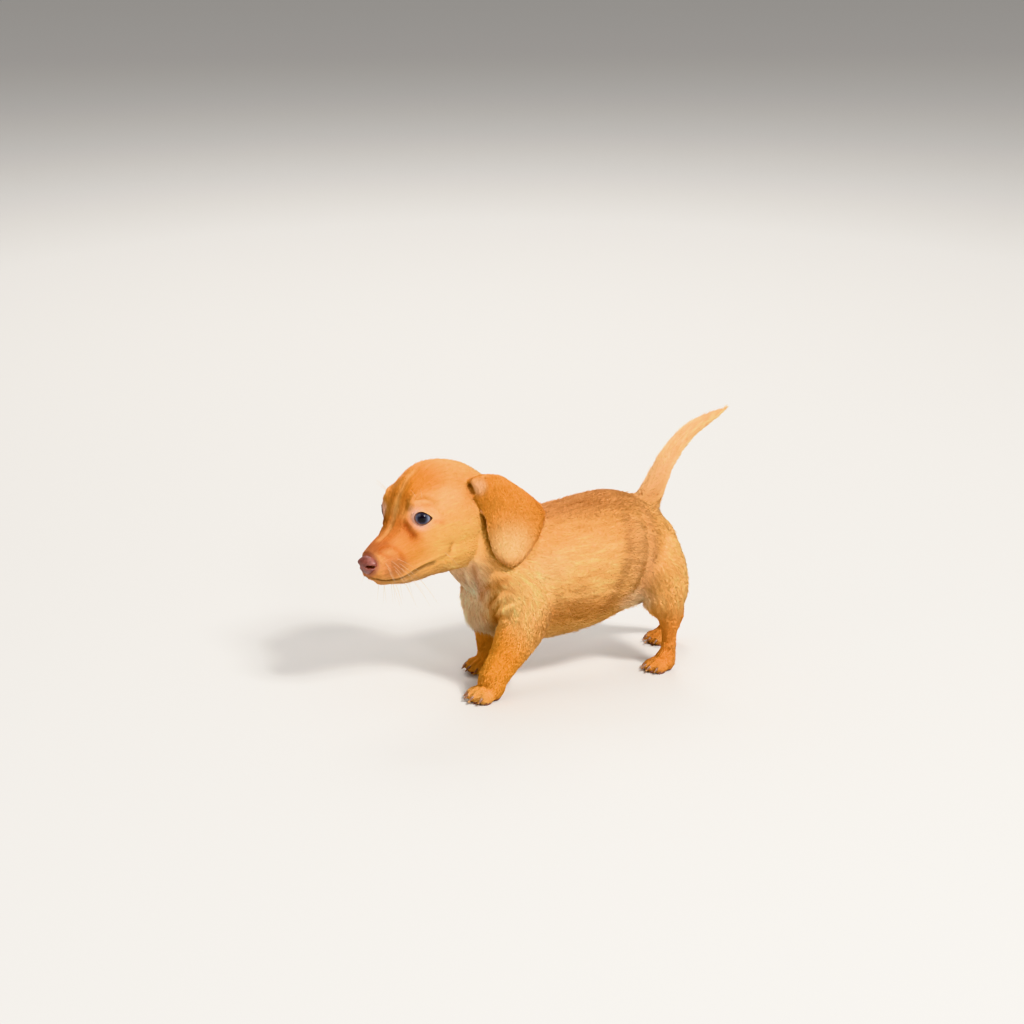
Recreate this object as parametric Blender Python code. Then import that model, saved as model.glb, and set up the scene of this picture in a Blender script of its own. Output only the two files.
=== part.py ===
"""A smooth-haired dachshund puppy, walking with its head low and its tail up, as a still life-size model.

Lengths are in millimetres until a mesh is made. X runs forwards, Y to the animal's left, Z up.
"""
import math

import bmesh
import bpy
import numpy as np
from mathutils import Matrix, Vector

MM = 0.001
GAP = 0.3                 # what touching nodes keep between them
FLOOR = 0.0
MIDDLE = (13.4, -3.1, 0)  # the middle of the finished model over the floor, which becomes its origin

# Fineness of the flesh before it is parted
VOXEL = 1.0
SMOOTHING_PASSES = 14
FLESH_TRIANGLES = 6260
HEAD_FINENESS = 0.0008

# Body: x, height of the belly, height of the back, half width
TORSO = (
    (62, 45, 92, 25),
    (54, 38, 106, 32),
    (40, 33, 117, 36.5),
    (20, 30, 122, 39),
    (0, 31, 124, 40.5),
    (-20, 34.5, 126.5, 41),
    (-38, 40, 127, 39.5),
    (-56, 45, 122, 36),
    (-70, 50, 114, 30),
    (-79, 56, 104, 23),
)
TORSO_CAPS = (11, 8)

# Neck: x, y, z, half width, half depth
NECK = (
    (40, 0, 90, 33, 32),
    (56, -1, 97, 30.5, 31),
    (68, -4, 108, 27.5, 28),
    (76, -7, 120, 25.5, 27),
)

# Head in its own frame: x from the back of the skull to the nose, z up from the line of the mouth
HEAD_LENGTH = 118
HEAD_YAW = 11
HEAD_PITCH = 12.5
HEAD_ROLL = 6
HEAD_PLACE = (161, 9, 99.5)

# Skull and muzzle: x, underside, top, half width, squareness
SKULL = (
    (4, -3, 24, 14, 2.0),
    (10, -14, 32, 21.5, 2.0),
    (20, -24, 41, 27, 2.0),
    (35, -29.5, 48, 30.5, 2.0),
    (48, -29, 49.6, 31, 2.05),
    (60, -26.5, 45.5, 29, 2.1),
    (68, -25, 40, 26, 2.1),
    (75, -24.5, 31.5, 23, 2.15),
    (81, -23.5, 22.5, 19.5, 2.2),
    (88, -22, 16.3, 16.5, 2.3),
    (97, -19, 13.2, 14, 2.35),
    (105, -14.6, 10, 11.6, 2.3),
    (109, -11.6, 7.8, 10, 2.3),
)
SKULL_CAPS = (5, 4)

EYE_RADIUS = 7.6
EYE_CENTRE = (67.5, 17.5, 21.5)
EYE_TURN = 46              # the eye looks this far out to the side
EYE_RISE = 4
EYE_TILT = 12              # the inner corner lies higher than the outer one
EYE_OPENING = (12.4, 9.2)
LID_THICKNESS = 1.9

NOSE_CENTRE = (110.3, 0, 0.4)
NOSE_RADII = (5.8, 7.2, 6.6)

# Ear, left, in the body's frame: rows from root to tip, each the front edge, the back edge and the camber
EAR_ROWS = (
    ((78, 10, 150), (62, 9, 150), 1.0),
    ((81.5, 17.5, 153.2), (55, 19.5, 153.5), 3.5),
    ((79.5, 20.5, 144), (37, 26.5, 140), 4.5),
    ((75.4, 22.5, 134), (28.5, 30, 130), 5.0),
    ((73.4, 25, 124.5), (30.5, 32, 119.5), 5.0),
    ((72.2, 26.5, 114.8), (35.5, 33.5, 110.8), 4.5),
    ((70, 28.5, 106), (41.8, 34.5, 103.2), 4.0),
    ((67.5, 31, 99.8), (46.8, 36, 98.6), 3.0),
    ((63.8, 33.2, 96), (51.8, 36.2, 95.5), 2.0),
)
EAR_THICKNESS = 3.0
RIGHT_EAR_PIVOT = Vector((30, -22, 30))
RIGHT_EAR_TURN = (7, -13)   # about the head's X and Z, so that it hangs plumb beside the cheek
RIGHT_EAR_SHIFT = Vector((0, 0, -2.5))

# Tail: x, y, z, half width, half depth
TAIL = (
    (-56, 0, 98, 13, 13),
    (-63, 0, 108, 11.5, 12),
    (-70, 0, 119, 9.0, 9.6),
    (-76, 0, 130, 7.6, 7.9),
    (-83, 0, 142.5, 6.7, 7),
    (-92, 0, 153.5, 6.1, 6.3),
    (-102, 0, 162, 5.4, 5.5),
    (-112, 0, 167, 4.5, 4.6),
    (-122, 0, 171, 3.2, 3.3),
    (-131, 0, 174.4, 1.4, 1.4),
)
# Legs: x, y, z, half width across the body, half depth along the body
FRONT_LEG_LEFT = (
    (47, 24, 86, 13, 22),
    (45, 28, 68, 13.5, 20.5),
    (46, 30, 52, 13, 18.5),
    (53, 30.5, 39, 12, 16),
    (61, 30.5, 27, 10.5, 12.5),
    (69, 30.5, 16, 9.8, 10.8),
    (71, 30.5, 9, 9.6, 10),
)
FRONT_LEG_RIGHT = (
    (44, -24, 86, 13, 21),
    (41, -28, 68, 13, 19),
    (40, -29, 52, 12, 15),
    (43, -28, 38, 10.5, 11.5),
    (43, -27, 26, 9.2, 9.6),
    (41.5, -26.5, 15, 9.2, 9.4),
    (43, -26.5, 9, 9.2, 9.4),
)
HIND_LEG_LEFT = (
    (-61, 21, 86, 13.5, 20),
    (-64, 25, 72, 16, 20.5),
    (-66.5, 28, 60, 13.5, 18.5),
    (-67.5, 29, 50, 11, 16),
    (-70, 28.5, 41, 8.6, 11),
    (-70.5, 28.5, 33, 6.8, 7.4),
    (-70.5, 28.5, 25, 5.6, 5.8),
    (-70, 28.5, 16, 5.4, 5.4),
    (-68, 28.5, 9, 7, 7.2),
)
HIND_LEG_RIGHT = (
    (-61, -21, 86, 13.5, 20),
    (-66, -25, 72, 16, 20),
    (-71, -27.5, 60, 13, 17),
    (-80, -28, 49, 10, 13),
    (-93, -27.5, 39, 7.6, 9),
    (-104, -27, 31, 6.2, 6.8),
    (-109, -26.5, 23, 5.6, 5.6),
    (-106, -26.5, 14, 5.6, 5.4),
    (-101, -26.5, 9, 7, 7),
)

# Paws: name, x and y of the wrist, heading, size, top of the cut that parts the paw from the leg
PAWS = (
    ("forepaw_left", (70, 30.5), 4, 1.0, 17),
    ("forepaw_right", (41, -26.5), -5, 1.0, 17),
    ("hindpaw_left", (-68, 28.5), 3, 0.86, 14),
    ("hindpaw_right", (-101, -26.5), -4, 0.86, 14),
)
# Toe: forwards, sideways, height, turn outwards
TOES = ((9, 7.8, 4.4, 14), (12.5, 2.7, 4.8, 4), (12.5, -2.7, 4.8, -4), (9, -7.8, 4.4, -14))
TOE_RADII = (6.8, 3.5, 4.9)
CLAW_RINGS = ((4.2, 0.4, 1.35), (6.4, 0.2, 1.15), (7.6, -0.7, 0.8), (8.6, -2.0, 0.35))  # reach, rise, radius

# Line of the mouth, left, in the head's frame
MOUTH = (
    (115, 0, -8.4),
    (113.8, 3.4, -8.7),
    (110.4, 6.4, -10.0),
    (105, 8.2, -12.0),
    (98, 11.3, -13.8),
    (91, 14.2, -13.4),
    (84, 17.0, -11.2),
    (78, 19.4, -10.2),
    (73, 21.4, -10.6),
)

# Folds of the skin: frame, points along the fold, half width, depth
FOLDS = (
    ("head", ((78, 20, -10), (70, 22.5, -11.5), (64.5, 24.5, -10.5), (60, 26, -7.5), (57, 27.5, -3)),
     1.6, 1.3),
    ("head", ((71, 20, 34.5), (65, 23, 33.2), (59, 25.5, 29.5)), 1.5, 0.7),
    ("head", ((75, 15, 31), (75.5, 18, 28.5)), 1.2, 0.5),
    ("head", ((80, 13, 20), (81, 15, 15.5), (80, 17, 12)), 2.6, 1.0),
    ("head", ((98, 0, 14), (85, 0, 18), (78, 0, 28), (70, 0, 38), (60, 0, 45)), 2.6, 0.5),
    ("body", ((83.5, 23.3, 99.6), (79.7, 18.8, 90.8), (77, 16.6, 82.7), (71.7, 12.2, 73.6)), 2.0, 2.0),
    ("body", ((84.5, 13, 90), (81, 9, 82), (76, 6.8, 74), (71, 9, 66)), 2.0, 1.6),
    ("body", ((60.6, 35.2, 80), (66, 28, 74), (67.5, 21, 66), (66.5, 17, 58)), 2.0, 1.8),
    ("body", ((56, 38, 71), (64.8, 31.4, 67), (65.5, 24, 62), (64.5, 20.5, 57)), 1.8, 1.6),
    ("body", ((60, 35.5, 59), (64.5, 30.5, 58.5), (64.8, 25, 55)), 1.8, 2.0),
    ("body", ((29, 40, 60), (31, 40.5, 74), (33, 39, 88)), 3.0, 1.0),
    ("body", ((-49, 20, 116), (-51, 33, 99), (-47, 37.5, 76), (-40, 33, 58)), 4.0, 1.6),
)


def clear_scene():
    for thing in list(bpy.data.objects):
        bpy.data.objects.remove(thing, do_unlink=True)


def curve_through(rows, steps):
    """Rows of numbers joined by one smooth curve, with steps rows for each pair."""
    table = np.array(rows, float)
    ends = np.vstack([2 * table[0] - table[1], table, 2 * table[-1] - table[-2]])
    out = []
    for a, b, c, d in zip(ends, ends[1:], ends[2:], ends[3:]):
        for step in range(steps):
            t = step / steps
            out.append(0.5 * (2 * b + (c - a) * t + (2 * a - 5 * b + 4 * c - d) * t * t
                              + (3 * b - a - 3 * c + d) * t ** 3))
    out.append(table[-1])
    return out


def unit_ring(sides, squareness=2.0):
    """Points of a ring from a circle towards a square, as (across, up)."""
    ring = []
    for side in range(sides):
        angle = 2 * math.pi * side / sides
        c, s = math.cos(angle), math.sin(angle)
        power = 2 / squareness
        ring.append((math.copysign(abs(c) ** power, c), math.copysign(abs(s) ** power, s)))
    return ring


def closed_loft(name, rings):
    """A closed mesh through rings of equal length, capped with a fan at each end."""
    shape = bmesh.new()
    loops = [[shape.verts.new(Vector(p) * MM) for p in ring] for ring in rings]
    for first, second in zip(loops, loops[1:]):
        for i in range(len(first)):
            j = (i + 1) % len(first)
            shape.faces.new((first[i], first[j], second[j], second[i]))
    for loop in (loops[0], loops[-1]):
        hub = shape.verts.new(sum((v.co for v in loop), Vector()) / len(loop))
        for i in range(len(loop)):
            shape.faces.new((hub, loop[i], loop[(i + 1) % len(loop)]))
    bmesh.ops.recalc_face_normals(shape, faces=shape.faces)
    mesh = bpy.data.meshes.new(name)
    shape.to_mesh(mesh)
    shape.free()
    return mesh


def with_round_ends(rows, start, end, size_columns, steps=6):
    """Rows with quarter-round caps of the given lengths along their own line."""
    rows = [np.array(r, float) for r in rows]

    def cap(row, inner, length):
        out = (row - inner)[:3]
        out = out / np.linalg.norm(out) * length
        made = []
        for step in range(1, steps + 1):
            angle = math.pi / 2 * step / (steps + 0.35)
            new = row.copy()
            new[:3] = row[:3] + out * math.sin(angle)
            new[size_columns] = row[size_columns] * math.cos(angle)
            made.append(new)
        return made

    first = cap(rows[0], rows[1], start)[::-1] if start else []
    last = cap(rows[-1], rows[-2], end) if end else []
    return first + rows + last


def limb(name, rows, caps=(6, 6), sides=24, steps=6, cap_steps=6):
    """A round limb along rows of x, y, z, half width, half depth."""
    rows = with_round_ends(curve_through(rows, steps), *caps, [3, 4], cap_steps)
    points = [Vector(r[:3]) for r in rows]
    rings = []
    for i, row in enumerate(rows):
        along = (points[min(i + 1, len(points) - 1)] - points[max(i - 1, 0)]).normalized()
        side = Vector((0, 1, 0))
        side = (side - along * side.dot(along)).normalized()
        depth = along.cross(side)
        rings.append([points[i] + side * (c * row[3]) + depth * (s * row[4])
                      for c, s in unit_ring(sides)])
    return closed_loft(name, rings)


def barrel(name, rows, caps, frame=Matrix(), sides=40, steps=6):
    """A body along X through rows of x, underside, top, half width and, where given, squareness."""
    table = []
    for x, low, high, half, *rest in rows:
        table.append((x, 0, (low + high) / 2, half, (high - low) / 2, rest[0] if rest else 2.0))
    rows = with_round_ends(curve_through(table, steps), *caps, [3, 4])
    rings = [[frame @ Vector((row[0], row[1] + c * row[3], row[2] + s * row[4]))
              for c, s in unit_ring(sides, row[5])] for row in rows]
    return closed_loft(name, rings)


def ball(name, centre, radii, frame=Matrix(), turn=Matrix(), segments=28, rings=20):
    """An ellipsoid with its centre in a frame, turned about that centre."""
    shape = bmesh.new()
    bmesh.ops.create_uvsphere(shape, u_segments=segments, v_segments=rings, radius=1)
    place = frame @ Matrix.Translation(centre) @ turn @ Matrix.Diagonal((*radii, 1))
    bmesh.ops.transform(shape, matrix=Matrix.Scale(MM, 4) @ place, verts=shape.verts)
    bmesh.ops.recalc_face_normals(shape, faces=shape.faces)
    mesh = bpy.data.meshes.new(name)
    shape.to_mesh(mesh)
    shape.free()
    return mesh


def block(name, low, high, frame=Matrix()):
    """A box between two corners of a frame."""
    shape = bmesh.new()
    bmesh.ops.create_cube(shape, size=1)
    low, high = Vector(low), Vector(high)
    size = high - low
    place = frame @ Matrix.Translation((low + high) / 2) @ Matrix.Diagonal((*size, 1))
    bmesh.ops.transform(shape, matrix=Matrix.Scale(MM, 4) @ place, verts=shape.verts)
    mesh = bpy.data.meshes.new(name)
    shape.to_mesh(mesh)
    shape.free()
    return mesh


def head_frame():
    """The head's frame: it turns about the nose tip's place."""
    turn = (Matrix.Rotation(math.radians(HEAD_YAW), 4, "Z")
            @ Matrix.Rotation(math.radians(HEAD_PITCH), 4, "Y")
            @ Matrix.Rotation(math.radians(HEAD_ROLL), 4, "X"))
    return Matrix.Translation(HEAD_PLACE) @ turn @ Matrix.Translation((-HEAD_LENGTH, 0, 0))


def paw_frame(wrist, heading, size):
    return (Matrix.Translation((*wrist, 0)) @ Matrix.Rotation(math.radians(heading), 4, "Z")
            @ Matrix.Scale(size, 4))


def eye_centre(side):
    return Vector((EYE_CENTRE[0], side * EYE_CENTRE[1], EYE_CENTRE[2]))


def eye_frame(head, side):
    """The eye's frame: its X looks out of the head and its Y runs along the opening."""
    turn = (Matrix.Rotation(math.radians(side * EYE_TURN), 4, "Z")
            @ Matrix.Rotation(math.radians(-EYE_RISE), 4, "Y")
            @ Matrix.Rotation(math.radians(-side * EYE_TILT), 4, "X"))
    return head @ Matrix.Translation(eye_centre(side)) @ turn


def link(name, mesh):
    thing = bpy.data.objects.new(name, mesh)
    bpy.context.scene.collection.objects.link(thing)
    return thing


def applied(thing):
    """The object's mesh with its modifiers applied, which then go."""
    graph = bpy.context.evaluated_depsgraph_get()
    mesh = bpy.data.meshes.new_from_object(thing.evaluated_get(graph))
    thing.modifiers.clear()
    thing.data = mesh
    return thing


def combine(thing, meshes, operation, solver="EXACT"):
    """Joins meshes to an object, or cuts them from it, by one Boolean on a collection."""
    group = bpy.data.collections.new("tools")
    bpy.context.scene.collection.children.link(group)
    for number, mesh in enumerate(meshes):
        group.objects.link(bpy.data.objects.new(f"tool_{number}", mesh))
    boolean = thing.modifiers.new("combine", "BOOLEAN")
    boolean.operation = operation
    boolean.operand_type = "COLLECTION"
    boolean.collection = group
    boolean.solver = solver
    bpy.context.view_layer.update()
    applied(thing)
    for tool in list(group.objects):
        bpy.data.objects.remove(tool, do_unlink=True)
    bpy.data.collections.remove(group)
    return thing


def flesh_pieces(head):
    """The closed shapes whose union is the animal's flesh, without ears, eyes and nose."""
    pieces = [
        barrel("torso", TORSO, TORSO_CAPS),
        limb("neck", NECK, caps=(10, 10), sides=32),
        barrel("skull", SKULL, SKULL_CAPS, head),
        limb("tail", TAIL, caps=(6, 3)),
    ]
    for side in (1, -1):
        pieces.append(ball("cheek", (48, side * 19, -8), (20, 11, 16), head))
        pieces.append(ball("cheekbone", (62, side * 17, 6), (17, 9, 13), head))
        pieces.append(ball("brow", (62, side * 14, 29), (13, 10, 10), head))
        pieces.append(ball("whisker_pad", (101, side * 7, -5), (10, 6.5, 8), head))
        pieces.append(ball("ear_root", (22, side * 20, 18), (12, 8, 10), head))
        pieces.append(ball("ear_seat", (18, side * 25.5, 22), (12, 9, 9), head))
        lid = EYE_RADIUS + LID_THICKNESS
        pieces.append(ball("lid", eye_centre(side), (lid, lid, lid), head))
    pieces.append(ball("chin", (94.5, 0, -13.2), (13, 8.5, 5.6), head))
    rise = Matrix.Rotation(math.radians(-14), 4, "Y")
    pieces.append(ball("nape", (42, -1, 117), (34, 19, 14), turn=rise))
    pieces.append(ball("breast", (61, 0, 62), (13, 17, 19)))
    for side in (1, -1):
        pieces.append(ball("buttock", (-68, side * 16, 80), (14, 13, 16)))
    for name, rows in (("left", FRONT_LEG_LEFT), ("right", FRONT_LEG_RIGHT)):
        pieces.append(limb("front_leg_" + name, rows, caps=(10, 4)))
    for name, rows in (("left", HIND_LEG_LEFT), ("right", HIND_LEG_RIGHT)):
        pieces.append(limb("hind_leg_" + name, rows, caps=(8, 3)))
    for _, wrist, heading, size, _ in PAWS:
        frame = paw_frame(wrist, heading, size)
        pieces.append(ball("palm", (3, 0, 6.6), (11, 9.6, 7.2), frame))
        for x, y, z, turn in TOES:
            splay = Matrix.Rotation(math.radians(turn), 4, "Z")
            pieces.append(ball("toe", (x, y, z), TOE_RADII, frame, splay))
    return pieces


def polyline_distance(points, line):
    """Each point's distance from a line of points, and how far along it the nearest place lies."""
    best = np.full(len(points), 1e9)
    place = np.zeros(len(points))
    count = len(line) - 1
    for i in range(count):
        a, b = line[i], line[i + 1]
        along = b - a
        t = np.clip(((points - a) @ along) / (along @ along), 0, 1)
        distance = np.linalg.norm(points - a - t[:, None] * along, axis=1)
        nearer = distance < best
        best[nearer] = distance[nearer]
        place[nearer] = (i + t[nearer]) / count
    return best, place


def sculpt(mesh, head):
    """Presses the folds of the skin and the grooves between the toes into the flesh."""
    count = len(mesh.vertices)
    points = np.empty(count * 3)
    normals = np.empty(count * 3)
    mesh.vertices.foreach_get("co", points)
    mesh.vertex_normals.foreach_get("vector", normals)
    points = points.reshape(-1, 3) / MM
    normals = normals.reshape(-1, 3)
    push = np.zeros(count)

    def fold(line, width, depth, lip=0.35):
        nonlocal push
        line = np.array(curve_through(line, 5))
        distance, place = polyline_distance(points, line)
        ends = np.clip(np.minimum(place, 1 - place) * 5, 0, 1) ** 0.7
        groove = -np.exp(-(distance / width) ** 2)
        ridge = lip * np.exp(-((distance - 2.1 * width) / width) ** 2)
        push += depth * ends * (groove + ridge)

    for frame, line, width, depth in FOLDS:
        for side in (1, -1) if frame == "head" and abs(line[0][1]) > 1 else (1,):
            turned = [(x, side * y, z) for x, y, z in line]
            if frame == "head":
                turned = [head @ Vector(p) for p in turned]
            fold(turned, width, depth)
    for _, wrist, heading, size, _ in PAWS:
        frame = paw_frame(wrist, heading, size)
        for y in (-5.4, 0, 5.4):
            between = ((20, y * 1.12, 4), (17, y, 8), (11, y * 0.9, 11.5), (6, y * 0.8, 13))
            fold([frame @ Vector(p) for p in between], 1.25, 1.5, lip=0)
    for side in (1, -1):
        lip = [head @ Vector((x, side * y, z + 2.2)) for x, y, z in MOUTH[2:]]
        fold(lip, 2.2, -0.7, lip=0)
    points += normals * push[:, None]
    mesh.vertices.foreach_set("co", (points * MM).ravel())
    mesh.update()


def build_flesh(head):
    first, *others = flesh_pieces(head)
    flesh = link("flesh", first)
    combine(flesh, others, "UNION", "MANIFOLD")
    remesh = flesh.modifiers.new("remesh", "REMESH")
    remesh.mode = "VOXEL"
    remesh.voxel_size = VOXEL * MM
    applied(flesh)
    inverse = head.inverted()
    soft = flesh.vertex_groups.new(name="soft")
    for vertex in flesh.data.vertices:
        at = vertex.co / MM
        local = inverse @ at
        fine = at.z < 13 or (local.x > 84 and local.z > -24)
        soft.add([vertex.index], 0.35 if fine else 1.0, "REPLACE")
    smooth = flesh.modifiers.new("smooth", "SMOOTH")
    smooth.factor = 0.5
    smooth.iterations = SMOOTHING_PASSES
    smooth.vertex_group = "soft"
    applied(flesh)
    sculpt(flesh.data, head)
    return flesh


def mouth_cutter(head):
    """A thin bent sheet that opens the line of the mouth to a narrow slit."""
    line = [(x, -y, z) for x, y, z in MOUTH[:0:-1]] + list(MOUTH)
    line = curve_through(line, 4)
    rings = []
    for i, place in enumerate(line):
        along = line[min(i + 1, len(line) - 1)] - line[max(i - 1, 0)]
        out = Vector((along[1], -along[0], 0)).normalized()
        out = -out if out.x < 0 else out
        place = Vector(place)
        half = 0.2 + 0.25 * min(1, (place.x - 72) / 20)
        corners = ((3.0, half), (-2.8, half), (-2.8, -half), (3.0, -half))
        rings.append([head @ (place + out * reach + Vector((0, 0, up))) for reach, up in corners])
    return closed_loft("mouth", rings)


def lid_opening(head, side):
    """The almond-shaped opening between the lids, as a prism along the gaze."""
    frame = eye_frame(head, side)
    width, height = EYE_OPENING
    outline = []
    for step in range(28):
        angle = 2 * math.pi * step / 28
        c, s = math.cos(angle), math.sin(angle)
        tall = (0.52 if s > 0 else 0.48) * height * (1 - abs(c) ** 2.4) ** 0.75
        outline.append((width / 2 * math.copysign(abs(c) ** 0.92, c), math.copysign(tall, s)))
    rings = []
    for depth, size in ((1.5, 0.82), (5.5, 0.94), (9.5, 1.06), (14, 1.3)):
        rings.append([frame @ Vector((depth, y * size, z * size)) for y, z in outline])
    return closed_loft("opening", rings)


def ear_mesh(head, side, grow=0.0, sides=18, steps=2):
    """A cupped flap; the right one is the left one mirrored in the head's own frame."""
    inverse = head.inverted()
    hang = (Matrix.Translation(RIGHT_EAR_PIVOT + RIGHT_EAR_SHIFT)
            @ Matrix.Rotation(math.radians(RIGHT_EAR_TURN[1]), 4, "Z")
            @ Matrix.Rotation(math.radians(RIGHT_EAR_TURN[0]), 4, "X")
            @ Matrix.Translation(-RIGHT_EAR_PIVOT))
    table = curve_through([(*front, *back, camber) for front, back, camber in EAR_ROWS], steps)
    outs = [Vector((0, 1, 0))]
    for number in range(len(table) - 1, -1, -1):
        after = Vector(table[min(number + 1, len(table) - 1)][:3])
        before = Vector(table[max(number - 1, 0)][:3])
        out = (after - before).cross(Vector(table[number][3:6]) - Vector(table[number][:3])).normalized()
        outs.append(-out if out.dot(outs[-1]) < 0 else out)
    outs = outs[:0:-1]
    rings = []
    for row, out in zip(table, outs):
        front, back, camber = Vector(row[:3]), Vector(row[3:6]), row[6]
        across = (back - front).normalized() * grow
        ring = []
        for c, s in unit_ring(sides, 2.3):
            place = (front - across).lerp(back + across, (1 - c) / 2)
            place += out * (camber * (1 - c * c) + s * (EAR_THICKNESS / 2 + grow))
            if side < 0:
                local = inverse @ place
                place = head @ (hang @ Vector((local.x, -local.y, local.z)))
            ring.append(place)
        rings.append(ring)
    tip = sum(rings[-1], Vector()) / sides
    down = (tip - sum(rings[-3], Vector()) / sides).normalized()
    edge = rings[-1]
    for size, reach in ((0.86, 0.7), (0.66, 1.3), (0.36, 1.7 + grow)):
        rings.append([tip + (p - tip) * size + down * reach for p in edge])
    return closed_loft("ear", rings)


def nose_mesh(head, grow=0.0):
    """The leather of the nose: broad above, narrow below, with a nostril on each side and a cleft."""
    shape = bmesh.new()
    bmesh.ops.create_uvsphere(shape, u_segments=18, v_segments=12, radius=1)
    for vert in shape.verts:
        x, y, z = vert.co
        y *= 1 + 0.16 * z
        x *= 1 - 0.10 * abs(z) ** 2 - 0.08 * max(0, x) ** 3
        x -= 0.16 * max(0, -z)
        vert.co = Vector(NOSE_CENTRE) + Vector((x * (NOSE_RADII[0] + grow), y * (NOSE_RADII[1] + grow),
                                                z * (NOSE_RADII[2] + grow)))
    bmesh.ops.transform(shape, matrix=Matrix.Scale(MM, 4) @ head, verts=shape.verts)
    bmesh.ops.recalc_face_normals(shape, faces=shape.faces)
    mesh = bpy.data.meshes.new("nose")
    shape.to_mesh(mesh)
    shape.free()
    return mesh


def nostril_cutters(head):
    cutters = []
    for side in (1, -1):
        turn = Matrix.Rotation(math.radians(side * 28), 4, "Z")
        cutters.append(ball("nostril", (115, side * 3.3, 0.2), (3.2, 1.5, 1.7), head, turn, 10, 6))
        slit = Matrix.Rotation(math.radians(side * -35), 4, "X")
        cutters.append(ball("slit", (112.6, side * 6.2, -1.9), (3.0, 2.4, 0.75), head, slit, 10, 6))
    cleft = [[head @ Vector((x, y, z)) for y, x in ((0.28, 118), (0, 118 - deep), (-0.28, 118))]
             for z, deep in ((-9, 6.5), (-4, 3.4), (-1, 2.6), (1.5, 2.0))]
    cutters.append(closed_loft("cleft", cleft))
    return cutters


def claws():
    """One curved cone at the tip of every toe, for each paw."""
    sets = {}
    for name, wrist, heading, size, _ in PAWS:
        frame = paw_frame(wrist, heading, size)
        made = []
        for x, y, z, turn in TOES:
            toe = frame @ Matrix.Translation((x, y, z)) @ Matrix.Rotation(math.radians(turn), 4, "Z")
            rings = []
            for reach, rise, radius in CLAW_RINGS:
                rings.append([toe @ Vector((reach, c * radius * 0.8, rise + s * radius))
                              for c, s in unit_ring(8)])
            made.append(closed_loft("claw", rings))
        sets[name] = made
    return sets


def region_box(low, high, frame=Matrix()):
    """A region and the same region grown by the gap."""
    wide = Vector((GAP, GAP, GAP))
    return block("region", low, high, frame), block("region", Vector(low) - wide, Vector(high) + wide, frame)


def region_limb(rows, caps=(0, 0)):
    grown = [(*r[:3], r[3] + GAP, r[4] + GAP) for r in rows]
    extra = [c + GAP if c else 0 for c in caps]
    return tuple(limb("region", r, c, sides=18, steps=1, cap_steps=3)
                 for r, c in ((rows, caps), (grown, extra)))


def regions(head):
    """What parts the flesh into nodes, in the order the cuts are made."""
    out = []
    for name, (x, y), heading, size, top in PAWS:
        frame = paw_frame((x, y), heading, 1.0)
        lean = Matrix.Translation((0, 0, top)) @ Matrix.Rotation(math.radians(12), 4, "Y")
        out.append((name, *region_box((-24, -17, -30), (34, 17, 0), frame @ lean)))
    out.append(("tail", *region_limb([(-69.5, 0, 117.5, 17, 17), (-80, 0, 139, 17, 17),
                                      (-104, 0, 163, 15, 15), (-140, 0, 178, 12, 12)])))
    for name, rows, reach in (("foreleg_left", FRONT_LEG_LEFT, 5), ("foreleg_right", FRONT_LEG_RIGHT, 5),
                              ("hindleg_left", HIND_LEG_LEFT, 4), ("hindleg_right", HIND_LEG_RIGHT, 4)):
        side = 1 if rows[0][1] > 0 else -1
        grown = [(x, y + side * 3, z, across + 5, along + reach) for x, y, z, across, along in rows]
        out.append((name, *region_limb(grown, caps=(12, 12))))
    lean = Matrix.Translation((9, 0, 36)) @ Matrix.Rotation(math.radians(-32), 4, "Y")
    out.append(("head", *region_box((0, -60, -150), (140, 60, 60), head @ lean)))
    lean = Matrix.Translation((57, 0, 100)) @ Matrix.Rotation(math.radians(-38), 4, "Y")
    out.append(("neck", *region_box((0, -50, -34), (60, 50, 50), lean)))
    return out


def merged_copy(mesh, distance):
    """The mesh with its slivers merged away, or nothing where that would pinch it."""
    shape = bmesh.new()
    shape.from_mesh(mesh)
    if distance:
        bmesh.ops.remove_doubles(shape, verts=shape.verts, dist=distance * MM)
        bmesh.ops.dissolve_degenerate(shape, edges=shape.edges, dist=distance * MM)
    bmesh.ops.triangulate(shape, faces=shape.faces)
    if distance and any(len(edge.link_faces) != 2 for edge in shape.edges):
        shape.free()
        return None
    return shape


def largest_body(mesh):
    """Keeps the largest closed surface of a mesh and merges away its slivers."""
    shape = next(filter(None, (merged_copy(mesh, distance) for distance in (0.03, 0.01, 0.003, 0.001, 0))))
    left = set(shape.verts)
    bodies = []
    while left:
        start = left.pop()
        body, edge = {start}, [start]
        while edge:
            vert = edge.pop()
            for rim in vert.link_edges:
                other = rim.other_vert(vert)
                if other in left:
                    left.discard(other)
                    body.add(other)
                    edge.append(other)
        bodies.append(body)
    bodies.sort(key=len)
    bmesh.ops.delete(shape, geom=[v for body in bodies[:-1] for v in body], context="VERTS")
    bmesh.ops.recalc_face_normals(shape, faces=shape.faces)
    shape.to_mesh(mesh)
    shape.free()
    return mesh


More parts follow.
